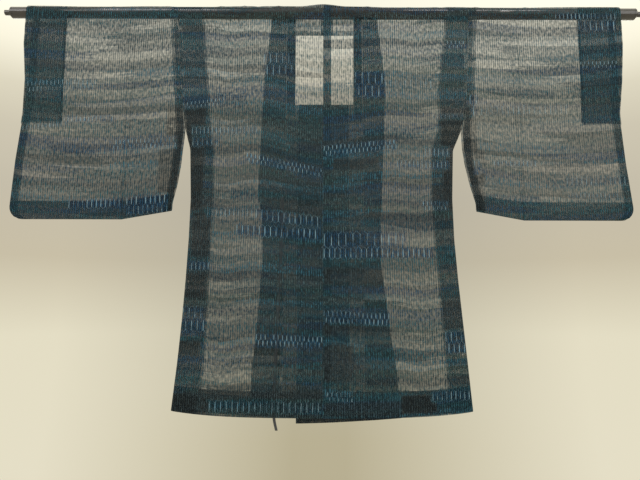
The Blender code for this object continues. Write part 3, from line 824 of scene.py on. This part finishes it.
def sag(x, v):
    """How far the picks droop below a level line."""
    drop = np.abs(v) - ARC
    out = np.abs(x)
    depth = np.where(x < 0, read(SAG, "left", drop), read(SAG, "right", drop))
    middle = depth * ramp(1 - out / SAG_REACH)
    window = WINDOW_SAG * np.exp(-(((out - WINDOW_MIDDLE) / WINDOW_WIDTH) ** 2))
    sleeve = SLEEVE_SAG * np.sin(np.pi * np.clip((out - SLEEVE_START) / SLEEVE_LENGTH, 0, 1))
    return middle + window + sleeve


def coat_depth(x, drop, leg):
    """The depth of whichever of body and sleeve lies at x."""
    front_left = left_front_depth(x, drop, leg)
    body = np.where(x < 0, front_left, body_depth(x, drop, leg))
    return np.where(np.abs(x) <= body_edge(x, drop), body, sleeve_depth(x, drop, leg))


def on_cloth(row):
    """A row of the chart, with the back's carried from the flat sheet to where the cloth lies."""
    x0, v0, x1, v1, *rest = row
    place = []
    for x, v in ((x0, v0), (x1, v1)):
        if v > 0:
            away = -CAMERA_AT[1] - float(coat_depth(x, v - ARC, BACK))
            share = away / CHART_DISTANCE
            x = CAMERA_AT[0] + (x - CAMERA_AT[0]) * share
            v = v * share + (ARC - CAMERA_AT[2]) * (1 - share)
        place += [x, v]
    return (*place, *rest)


FIGURE_ROWS = [on_cloth(row) for row in FIGURE_CHART]


def row_cover(x, v, row):
    """1 where a row of woven figures lies, fading to 0 past its ends."""
    x0, v0, x1, v1, height, count, _ = row
    top = v0 + (v1 - v0) * (x - x0) / (x1 - x0)
    down = (v - top) * math.copysign(1, v0)
    ends = ramp((x - x0) / CELL + 0.5) * ramp((x1 - x) / CELL + 0.5)
    return ends * ramp(down / CELL + 0.5) * ramp((height * count - down) / CELL + 0.5)


def make_mesh(name, points, faces, places, **values):
    """A mesh with its places on the weave and some values for its material, given at each point."""
    data = bpy.data.meshes.new(name)
    data.from_pydata(np.asarray(points).tolist(), [], faces)
    corners = np.zeros(len(data.loops), np.int32)
    data.loops.foreach_get("vertex_index", corners)
    weave = data.uv_layers.new(name="weave")
    weave.uv.foreach_set("vector", np.asarray(places)[corners].astype(np.float32).ravel())
    for key, value in values.items():
        attribute = data.attributes.new(key, "FLOAT", "POINT")
        attribute.data.foreach_set("value", np.asarray(value, np.float32))
    return data


def grid_faces(rows, columns, first=0, closed=False):
    """Faces over points that lie row by row, where each row may close on itself."""
    faces = []
    for i in range(rows - 1):
        for j in range(columns if closed else columns - 1):
            a = first + i * columns + j
            b = first + i * columns + (j + 1) % columns
            faces.append((a, b, b + columns, a + columns))
    return faces


class Cloth:
    """One piece of cloth, gathered from patches of points that are welded where they coincide."""

    def __init__(self, name, depth_at):
        self.name = name
        self.depth_at = depth_at
        self.along, self.down, self.sheerer = CUT_FROM[name]
        self.points = []
        self.places = []
        self.navy = []
        self.sheer = []
        self.faces = []
        self.count = 0

    def patch(self, x, v, inward, present=None, fold_x=None, fold_v=None, shift_x=0):
        """A grid of cloth. fold_x is the edge about which it turns back, and fold_v the hem's fold.

        fold_v isn't a number where the cloth hasn't reached the hem. shift_x is how far the weave
        moves along where the cloth turns back a second time.
        """
        x, v, inward = np.broadcast_arrays(np.asarray(x, float), v, inward)
        rows, columns = x.shape
        self.points.append(surface(x, v, inward, self.depth_at).reshape(-1, 3))
        blue = np.zeros(x.shape)
        dark_weft_and_shade = np.zeros(x.shape)
        for row in FIGURE_ROWS:
            cover = row_cover(x, v, row) * (np.sign(v) == np.sign(row[1]))
            blue = np.maximum(blue, row[6] * cover)
            dark_weft_and_shade = np.maximum(dark_weft_and_shade, -row[6] * cover)
        # Below 0, navy marks a dark band: dark weft, and painted shade where the coat's inside lies in
        # shadow.
        self.navy.append(np.where(blue > 0, blue * (inward < FOLDED), -dark_weft_and_shade).ravel())
        pressed = np.exp(-(((np.abs(x) - CREASE) / PRESSED_WIDTH) ** 2))
        self.sheer.append((self.sheerer - PRESSED_DENSER * pressed).ravel())
        along_x = x if fold_x is None else 2 * fold_x - x
        along_v = v - np.sign(v) * sag(x, v)
        if fold_v is not None:
            along_v = np.where(np.isnan(fold_v), along_v, 2 * fold_v - along_v)
        places = np.stack([along_x + shift_x + self.along, along_v + self.down], -1)
        self.places.append(places.reshape(-1, 2))
        kept = np.ones(x.size, bool) if present is None else present[:-1, :-1].ravel()
        faces = grid_faces(rows, columns, self.count)
        self.faces += [face for face, there in zip(faces, kept) if there]
        self.count += rows * columns

    def finish(self, material, flat, rests_on, held="hung"):
        """Welds the patches into the piece that takes its solid's place, cut from a flat sheet; the
        sheet's size, given as flat, is not used.
        """
        lists = (self.points, self.places, self.navy, self.sheer)
        points, places, navy, sheer = map(np.concatenate, lists)
        data = make_mesh(self.name, points, self.faces, places, navy=navy, sheer=sheer)
        mesh = bmesh.new()
        mesh.from_mesh(data)
        bmesh.ops.remove_doubles(mesh, verts=mesh.verts, dist=WELD)
        loose = [vertex for vertex in mesh.verts if not vertex.link_faces]
        bmesh.ops.delete(mesh, geom=loose, context="VERTS")
        mesh.to_mesh(data)
        mesh.free()
        piece = add_piece(self.name, data, material)
        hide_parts(self.name)


def add_piece(name, data, material):
    data.materials.append(material)
    data.shade_smooth()
    data.set_sharp_from_angle(angle=SHARP)
    piece = bpy.data.objects.new(name, data)
    bpy.context.scene.collection.objects.link(piece)
    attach(piece, "root")
    return piece


def steps(start, end):
    """Even places from start to end, about a cell apart."""
    return np.linspace(start, end, max(2, round(abs(end - start) / CELL) + 1))


def folded_in(width):
    """Distances in from a fold to a raw edge, starting tight against the fold."""
    return np.concatenate([[0, TIGHT], steps(TIGHT, width)[1:]])


def turned_under(width):
    """The same on every row, in as many steps whatever the row's width is."""
    return np.concatenate([0 * width, TIGHT + FOLD_SHARES * (width - TIGHT)], axis=1)


def layer(columns, inward=None):
    """How far inward the cloth lies: not at all at its fold, and within the wall from there on."""
    return np.where(columns == 0, OUTER, FOLDED if inward is None else inward)


def over_rod(angles):
    return [math.radians(angle) * FOLD_RADIUS for angle in angles]


def rows_of_length(hem, turn_ups, twice=False):
    """(drop or angle, leg, folds) for every row from the back hem over the rod to the front's.

    A hem is turned up once, or twice with the raw edge back down at the fold.
    """
    straight = steps(0, hem)
    ends = []
    for leg, turn_up in zip((BACK, FRONT), turn_ups):
        up = folded_in(turn_up)[1:]
        rows = [(hem - rise, leg, 1) for rise in up]
        if twice:
            rows += [(hem - rise, leg, 2) for rise in up[-2::-1]]
        ends.append(rows)
    rows = ends[0][::-1]
    rows += [(drop, BACK, 0) for drop in straight[::-1]]
    rows += [(angle, 0, 0) for angle in OVER_ANGLES]
    rows += [(drop, FRONT, 0) for drop in straight]
    return rows + ends[1]


def as_columns(rows):
    """The rows' drops or angles, legs, folds, and drops with 0 over the rod, each as one column."""
    value, leg, folds = np.array(rows, float).T[..., None]
    return value, leg, folds, np.where(leg == 0, 0, value)


def make_body(name, material):
    side = SIDES[name]
    cloth = Cloth("body_" + name, FRONT_DEPTHS[name])
    rows = rows_of_length(SIDE_HEM, (HEM_TURN_UP, FRONT_HEM_TURN_UP), twice=True)
    value, leg, folds, drop = as_columns(rows)
    edge = body_edge(side, drop)
    neck_row = rows.index((NECK_BACK, 0, 0))

    def lay(x, inward, part=slice(None), present=None, fold_x=None, shift_x=0):
        """Adds the cloth at x on every row, or on some of them, with its hem turned up."""
        hem = np.where(leg == BACK, back_hem(side, x), front_hem(side, x))
        down = leg * (ARC + value * hem / SIDE_HEM)
        v = np.where(leg == 0, np.radians(value) * FOLD_RADIUS, down)
        fold_v = np.where(folds == 1, leg * (ARC + hem), np.nan)
        arrays = np.broadcast_arrays(x, v, inward + HEM_FOLD * folds, fold_v, shift_x)
        x, v, inward, fold_v, shift_x = (array[part] for array in arrays)
        cloth.patch(x, v, inward, present, fold_x, fold_v, shift_x)

    seam = front_seam(name)
    inner = steps(SEAM_GAP / 2, seam)
    outer = np.linspace(0, 1, BODY_COLUMNS)[1:]
    x = np.concatenate([np.tile(inner, (len(rows), 1)), seam + outer * (edge - seam)], axis=1)
    present = np.ones(x.shape, bool)
    present[neck_row:, : len(inner) - 1] = False
    lay(side * x, OUTER, present=present)

    width = read(SIDE_ALLOWANCES, name, drop)
    columns = turned_under(width)
    lay(side * (edge - columns), layer(columns), fold_x=side * edge)

    # The left half's centre allowance crosses the middle and lies over the right half's
    columns = folded_in(CENTRE_ALLOWANCE)
    inward = FOLDED
    if side < 0:
        columns = -folded_in(CENTRE_ALLOWANCE - TIGHT)
        inward = FOLDED + CROSSED
    back = slice(0, neck_row + 1)
    lay(side * (SEAM_GAP / 2 + columns), layer(columns, inward), back, fold_x=0.0)

    # Beside the front seam the surplus cloth is folded in, and back again as far as it reaches
    reach = read(TURNED_UNDER, name, drop) - seam
    columns = turned_under(reach)
    front = slice(neck_row, None)
    lay(side * (seam + columns), layer(columns), front, fold_x=side * seam)
    left_over = BODY_CUT[0] - (edge - seam + width) - reach
    second = np.minimum(reach, left_over)
    again = np.concatenate([reach, reach - TIGHT - FOLD_SHARES * (second - TIGHT)], axis=1)
    inward = np.where(again < reach, FOLDED + CROSSED, FOLDED)
    lay(side * (seam + again), inward, front, shift_x=-2 * side * reach)
    cloth.finish(material, BODY_CUT, "rod")


def make_front_band(name, material):
    """The double band from the body's front edge to the front's free edge, past the middle."""
    side = SIDES[name]
    cloth = Cloth("front_band_" + name, FRONT_DEPTHS[name])
    top = NECK_BAND_DROP + SEAM_GAP
    shares = np.linspace(0, 1, BAND_ROWS)[:, None]
    overlap = FRONT_OVERLAP[name]
    seam = front_seam(name)

    def along(x):
        return -(ARC + top + shares * (front_hem(side, x) - top))

    x = side * steps(seam - SEAM_GAP, -overlap)
    cloth.patch(x, along(x), OUTER)
    under = side * (folded_in(seam + overlap - SEAM_GAP) - overlap)
    inward = np.full((len(shares), len(under)), DOUBLED)
    inward[:, 0] = OUTER
    inward[-1, :] = OUTER
    cloth.patch(under, along(under), inward, fold_x=-side * overlap)
    fold = side * (seam - SEAM_GAP)
    allowance = fold - side * steps(-TIGHT, BAND_ALLOWANCE)
    cloth.patch(allowance, along(allowance), OUTER + HEM_FOLD, fold_x=fold)
    rise = folded_in(FRONT_HEM_TURN_UP)[1:, None]
    for ply in (1, 2):
        v = -(ARC + front_hem(side, x) - rise)
        cloth.patch(x, v, OUTER + CROSSED * (ply + 1), shift_x=ply * RIB / 3)
    cloth.finish(material, BAND_CUT, "body_" + name)


def make_neck_band(name, material):
    """Half of the square neck's frame: over the back neck, down one side and along a front's top."""
    side = SIDES[name]
    cloth = Cloth("neck_band_" + name, FRONT_DEPTHS[name])
    angles = [angle for angle in OVER_ANGLES if angle <= NECK_BACK]
    angles[0] -= SEAM_ANGLE
    drops = steps(0, NECK_DROP)
    back_rows = angles.index(NECK_FACING)
    window_row = len(angles) + len(drops) - 1
    drops = np.concatenate([drops, steps(NECK_DROP, NECK_BAND_DROP)[1:]])
    v = np.concatenate([over_rod(angles), -ARC - drops])[:, None]
    half = NECK_HALF_WIDTHS[name]
    past = steps(-FRONT_OVERLAP[name], SEAM_GAP / 2)[:-1]
    inside = steps(SEAM_GAP / 2, half)[:-1]
    x = side * np.concatenate([past, inside, steps(half, front_seam(name) - SEAM_GAP)])
    middle = len(past)
    window = middle + len(inside)
    present = np.zeros((len(v), len(x)), bool)
    present[:, window:] = True
    present[window_row:, :] = True
    present[:back_rows, middle:] = True
    inward = np.full(present.shape, DOUBLED)
    inward[back_rows : window_row + 1, window] = OUTER
    inward[window_row, : window + 1] = OUTER
    inward[back_rows, middle : window + 1] = OUTER
    cloth.patch(x, v, OUTER, present)
    cloth.patch(x, v, inward, present, fold_x=side * half)
    columns = side * np.array([half + TIGHT, front_seam(name) - 2 * SEAM_GAP])
    cloth.patch(columns, v, OUTER + HEM_FOLD, shift_x=RIB / 3)
    cloth.finish(material, NECK_BAND_CUT, "body_" + name, "folded")


def make_neck_facing(material):
    """The short facing that hangs behind the rod from the back neck, with its own small hem."""
    cloth = Cloth("back_neck_facing", lambda x, drop, leg: np.full(np.shape(x), FOLD_RADIUS))
    angles = [NECK_FACING - SEAM_ANGLE] + [angle for angle in OVER_ANGLES if angle < NECK_FACING]
    v = over_rod(angles) + [-ARC - drop for drop in steps(0, FACING_DROP)]
    hem = [-ARC - FACING_DROP + rise for rise in folded_in(FACING_HEM)[1:]]
    inward = OUTER + HEM_FOLD * np.array([0] * len(v) + [1] * len(hem))[:, None]
    v = np.array(v + hem)[:, None]
    left = SEAM_GAP - NECK_HALF_WIDTHS["left"]
    right = NECK_HALF_WIDTHS["right"] - SEAM_GAP
    cloth.patch(steps(left, right), v, inward)
    cloth.patch(np.linspace(*FACING_SEAM, 6), v, inward + FOLDED)
    cloth.finish(material, NECK_FACING_CUT, "neck_band_left")


def make_sleeve(name, material):
    """One length folded over the rod, sewn along the bottom and up to the sleeve's mouth."""
    side = SIDES[name]
    cloth = Cloth("sleeve_" + name, sleeve_depth)
    rows = rows_of_length(SLEEVE_DROP, [SLEEVE_BOTTOM_ALLOWANCE] * 2)
    value, leg, folds, drop = as_columns(rows)

    def lay(x, inward, fold_x=None):
        """Adds the cloth at x on every row, with its bottom edge turned up inside."""
        share = (value - ARMHOLE_DROP) / (SLEEVE_DROP - ARMHOLE_DROP)
        bottom = sleeve_bottom(side * x)
        lower = ARMHOLE_DROP + share * (bottom - ARMHOLE_DROP)
        down = leg * (ARC + np.where(value <= ARMHOLE_DROP, value, lower))
        v = np.where(leg == 0, np.radians(value) * FOLD_RADIUS, down)
        fold_v = np.where(folds > 0, leg * (ARC + bottom), np.nan)
        cloth.patch(side * x, v, inward + HEM_FOLD * folds, fold_x=fold_x, fold_v=fold_v)

    inner = sleeve_inner_edge(side, drop)
    outer = sleeve_outer_edge(side, drop)
    pressed = CREASE + np.concatenate([-np.array(PRESSED_COLUMNS[::-1]), [0], PRESSED_COLUMNS])
    near, past = pressed[[0, -1]]
    before = inner + np.linspace(0, 1, SLEEVE_COLUMNS[0])[:-1] * (near - inner)
    after = past + np.linspace(0, 1, SLEEVE_COLUMNS[1])[1:] * (outer - past)
    lay(np.concatenate([before, np.tile(pressed, (len(rows), 1)), after], axis=1), OUTER)
    columns = folded_in(SLEEVE_SIDE_ALLOWANCE)
    lay(inner + columns, layer(columns), fold_x=side * inner)
    lay(outer - columns, layer(columns), fold_x=side * outer)
    cloth.finish(material, SLEEVE_CUT, "rod")


def make_sleeve_facing(name, material):
    """The facing inside a sleeve's mouth."""
    side = SIDES[name]
    cloth = Cloth("sleeve_facing_" + name, sleeve_depth)
    drops = steps(0, FACING_END_DROP)
    back = ARC + steps(FACING_END_DROP, 0)
    v = np.concatenate([back, over_rod(OVER_ANGLES), -ARC - drops])[:, None]
    outer = sleeve_outer_edge(side, np.maximum(np.abs(v) - ARC, 0)) - SEAM_GAP
    inner = np.interp(np.abs(v) - ARC, (0, FACING_END_DROP), FACING_PLACES[name])
    inner = inner + np.interp(v, (-ARC, ARC), (FACING_SKEW, 0))
    across = np.linspace(0, 1, FACING_COLUMNS)
    cloth.patch(side * (inner + across * (outer - inner)), v, FACING_INWARD)
    for fold, columns in ((outer, -folded_in(FACING_ALLOWANCE)), (inner, folded_in(FACING_EDGE_TURN))):
        inward = np.where(columns == 0, FACING_INWARD, FACING_INWARD + CROSSED)
        cloth.patch(side * (fold + columns), v, inward, fold_x=side * fold)
    cloth.finish(material, FACING_CUT, "sleeve_" + name)


# Woven figures


def float_strip(points, faces, x, v, half_width):
    """One raised float along a short line on the cloth, three points across."""
    faces += grid_faces(len(x), 3, len(points))
    for x0, v0, w in zip(x, v, half_width):
        for out in (-1, 0, 1):
            proud = FLOAT_EDGE if out else FLOAT_EDGE + FLOAT_RISE * w / FLOAT_HALF_WIDTH
            points.append((x0 + out * w, v0, -proud))


def make_figures(name, rows, material):
    """Rows of upright floats whose split ends meet in a zigzag, each second row half a figure aside."""
    points = []
    faces = []
    navy = []
    chance = np.random.default_rng(len(rows) + FIGURE_SEED)
    for x0, v0, x1, v1, height, count, blue in rows:
        if blue < 0:
            continue
        down = math.copysign(height, v0)
        across = max(FIGURE, height / 2)
        for r in range(count):
            for k in range(int((x1 - x0) / across) + 1):
                middle = x0 + (k + 0.5 * (r % 2)) * across
                if middle > x1 or chance.random() < MISSING:
                    continue
                top = v0 + (v1 - v0) * (middle - x0) / (x1 - x0) + r * down
                bow = chance.uniform(-FLOAT_LEAN, FLOAT_LEAN) * (STEM_PLACES - 0.5) * 2
                wide = FLOAT_HALF_WIDTH * chance.uniform(*FLOAT_WIDTHS)
                float_strip(points, faces, middle + bow, top + STEM_PLACES * down, wide * STEM_WIDTHS)
                for end, share in ((1, STEM_PLACES[-1]), (-1, STEM_PLACES[0])):
                    if end < 0 and r > 0:
                        continue
                    for aside in (-1, 1):
                        if chance.random() < FORK_MISSING:
                            continue
                        reach = middle + aside * across * FORK_REACH
                        fall = top + (share + end * FORK_FALL) * down
                        float_strip(points, faces, reach, fall, wide * FORK_WIDTHS)
        navy += [blue] * (len(points) - len(navy))
    points = np.array(points)
    data = make_mesh(name, surface(*points.T, coat_depth), faces, points[:, :2], navy=navy)
    add_piece(name, data, material)


# Sewing


def seam_lines():
    """(x, v, spacing) of every line of stitches: where it runs, and how far apart its stitches are."""
    lines = []
    for name, side in SIDES.items():
        seam = front_seam(name)
        armhole = np.linspace(0, ARMHOLE_DROP, 60)
        armhole_x = side * (body_edge(side, armhole) - SEAM_STITCH_IN)
        side_drop = np.linspace(*SIDE_STITCHES, 120)
        side_x = side * (body_edge(side, side_drop) - EDGE_STITCH_IN)
        bottom_x = side * np.linspace(*BOTTOM_STITCHES, 50)
        bottom = sleeve_bottom(bottom_x) - EDGE_STITCH_IN
        hems = (
            (BACK, HEM_STITCHES_FROM, back_hem, HEM_TURN_UP),
            (FRONT, seam, front_hem, FRONT_HEM_TURN_UP),
        )
        for leg, inner, hem_at, turn_up in hems:
            hem_x = side * np.linspace(inner, HEM_STITCHES_END, 50)
            hem = hem_at(side, hem_x) - turn_up + HEM_STITCH_IN
            lines.append((armhole_x, leg * (ARC + armhole), STITCH))
            lines.append((hem_x, leg * (ARC + hem), HEM_STITCH))
            lines.append((bottom_x, leg * (ARC + bottom), BOTTOM_STITCH))
            lines.append((side_x, leg * (ARC + side_drop), STITCH))
        front = np.linspace(*FRONT_STITCHES, 160)
        lines.append((np.full(160, side * (seam + SEAM_STITCH_IN)), -ARC - front, STITCH))
    lines.append((np.full(200, -SEAM_STITCH_IN), ARC + np.linspace(*CENTRE_STITCHES, 200), STITCH))
    return lines


def make_stitching(material):
    """Small running stitches, each a short thread that dips into the cloth at both ends."""
    points = []
    faces = []
    turns = np.arange(4) * math.pi / 2
    for x, v, spacing in seam_lines():
        run = np.concatenate([[0], np.cumsum(np.hypot(np.diff(x), np.diff(v)))])
        for start in np.arange(0, run[-1] - spacing, spacing):
            at = start + spacing * STITCH_SHARE * np.linspace(0, 1, len(STITCH_RISE))
            along_x = np.interp(at, run, x)
            along_v = np.interp(at, run, v)
            direction = np.array([along_x[-1] - along_x[0], along_v[-1] - along_v[0]])
            direction = direction / np.linalg.norm(direction)
            first = len(points)
            faces += grid_faces(len(at), 4, first, closed=True)
            faces.append((first + 3, first + 2, first + 1, first))
            faces.append(tuple(first + 4 * len(at) - 4 + corner for corner in range(4)))
            for px, pv, rise in zip(along_x, along_v, STITCH_RISE):
                for turn in turns:
                    aside = THREAD * math.cos(turn)
                    inward = OUTER - THREAD * (rise + math.sin(turn))
                    points.append((px - direction[1] * aside, pv + direction[0] * aside, inward))
    points = np.array(points)
    data = make_mesh("stitching", surface(*points.T, coat_depth), faces, points[:, :2])
    add_piece("stitching", data, material)


# Tie and rod


def smooth_route(route, per_span):
    """Points on a Catmull-Rom curve through the route's own points."""
    anchors = [np.array(point) for point in route]
    ends = [2 * anchors[0] - anchors[1], *anchors, 2 * anchors[-1] - anchors[-2]]
    points = []
    for before, start, end, after in zip(ends, ends[1:], ends[2:], ends[3:]):
        for t in np.linspace(0, 1, per_span, endpoint=False):
            bend = 2 * start + (end - before) * t + (2 * before - 5 * start + 4 * end - after) * t**2
            points.append((bend + (3 * start - before - 3 * end + after) * t**3) / 2)
    points.append(anchors[-1])
    return np.array(points)


def make_tie(material):
    """The tie, a narrow cloth tube pressed a little flat, with its open end below the hem."""
    path = smooth_route(TIE_ROUTE, TIE_SPAN)
    run = np.concatenate([[0], np.cumsum(np.linalg.norm(np.diff(path, axis=0), axis=1))])
    around = np.linspace(0, 2 * math.pi, TIE_SIDES, endpoint=False)
    points = []
    places = []
    for at, centre in zip(run, path):
        wide, flat, turn = (
            middle + change * math.sin(at * pace)
            for middle, change, pace in (TIE_WIDE, TIE_FLAT, TIE_TURN)
        )
        for angle in around:
            a = TIE_RADIUS * wide * math.cos(angle)
            b = TIE_RADIUS * flat * math.sin(angle)
            x = a * math.cos(turn) - b * math.sin(turn)
            y = a * math.sin(turn) + b * math.cos(turn)
            points.append((centre[0] + x, centre[1] + y, centre[2]))
            places.append((angle * TIE_RADIUS, at))
    faces = grid_faces(len(path), TIE_SIDES, closed=True)
    faces.append(tuple(range(TIE_SIDES - 1, -1, -1)))
    faces.append(tuple(range(len(points) - TIE_SIDES, len(points))))
    piece = add_piece("tie_cord", make_mesh("tie_end", points, faces, places), material)
    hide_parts("tie")


def dress_rod(material):
    for name in ("rod", "rod_end_left", "rod_end_right"):
        for slot in frame["nodes"][name].material_slots:
            slot.material = material


# Studio


def make_world():
    """A pale cream surround, brightest above, with the coat's shadow painted on it behind the coat."""
    g = Graph(bpy.data.worlds.new("surround"))
    bpy.context.scene.world = g.owner
    place = g.node("TexCoord", {}).outputs["Generated"]
    x, _, z = g.node("SeparateXYZ", {0: place}).outputs
    height = g.node("MapRange", {"Value": z, "From Min": -1, "From Max": 1}).outputs[0]
    tones = []
    for table in (WORLD_MIDDLE_SHADOWED, WORLD_SIDES):
        stops = [((math.sin(math.radians(degrees)) + 1) / 2, colour) for degrees, colour in table]
        tones.append(g.ramp(height, stops))
    start, end = SIDES_FROM
    inputs = {"Value": g.math("ABSOLUTE", x), "From Min": start, "From Max": end}
    aside = g.node("MapRange", inputs).outputs[0]
    g.feed(g.nodes["Background"].inputs["Color"], g.mix(aside, *tones))


def make_light(name, at, aim, size, power):
    data = bpy.data.lights.new(name, "AREA")
    data.shape = "RECTANGLE"
    data.size, data.size_y = size
    data.energy = power
    lamp = bpy.data.objects.new(name, data)
    lamp.location = at
    lamp.rotation_euler = (Vector(aim) - Vector(at)).to_track_quat("-Z", "Y").to_euler()
    bpy.context.scene.collection.objects.link(lamp)


def make_studio():
    half = FLOOR_SIZE / 2
    corners = ((-half, -half), (half, -half), (half, half), (-half, half))
    data = bpy.data.meshes.new("floor")
    data.from_pydata([(x, y, FLOOR_LEVEL) for x, y in corners], [], [(0, 1, 2, 3)])
    data.materials.append(floor_material())
    floor = bpy.data.objects.new("floor", data)
    bpy.context.scene.collection.objects.link(floor)
    for light in LIGHTS:
        make_light(*light)
    make_world()
    bpy.context.scene.view_settings.view_transform = "Standard"
    bpy.context.scene.cycles.transparent_max_bounces = MOST_LAYERS


def main():
    make_camera()
    make_tie(tie_material())
    gauze = gauze_material()
    for name in SIDES:
        make_body(name, gauze)
        make_front_band(name, gauze)
        make_neck_band(name, gauze)
        make_sleeve(name, gauze)
        make_sleeve_facing(name, gauze)
    make_neck_facing(gauze)
    figure = figure_material()
    make_figures("figures_back", [row for row in FIGURE_ROWS if row[1] > 0], figure)
    make_figures("figures_front", [row for row in FIGURE_ROWS if row[1] < 0], figure)
    make_stitching(thread_material())
    dress_rod(rod_material())
    make_studio()
    for piece in bpy.data.objects:
        if piece.type == "MESH" and "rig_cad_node" not in piece:
            piece.visible_shadow = piece.name in ("tie_cord", "floor")


main()
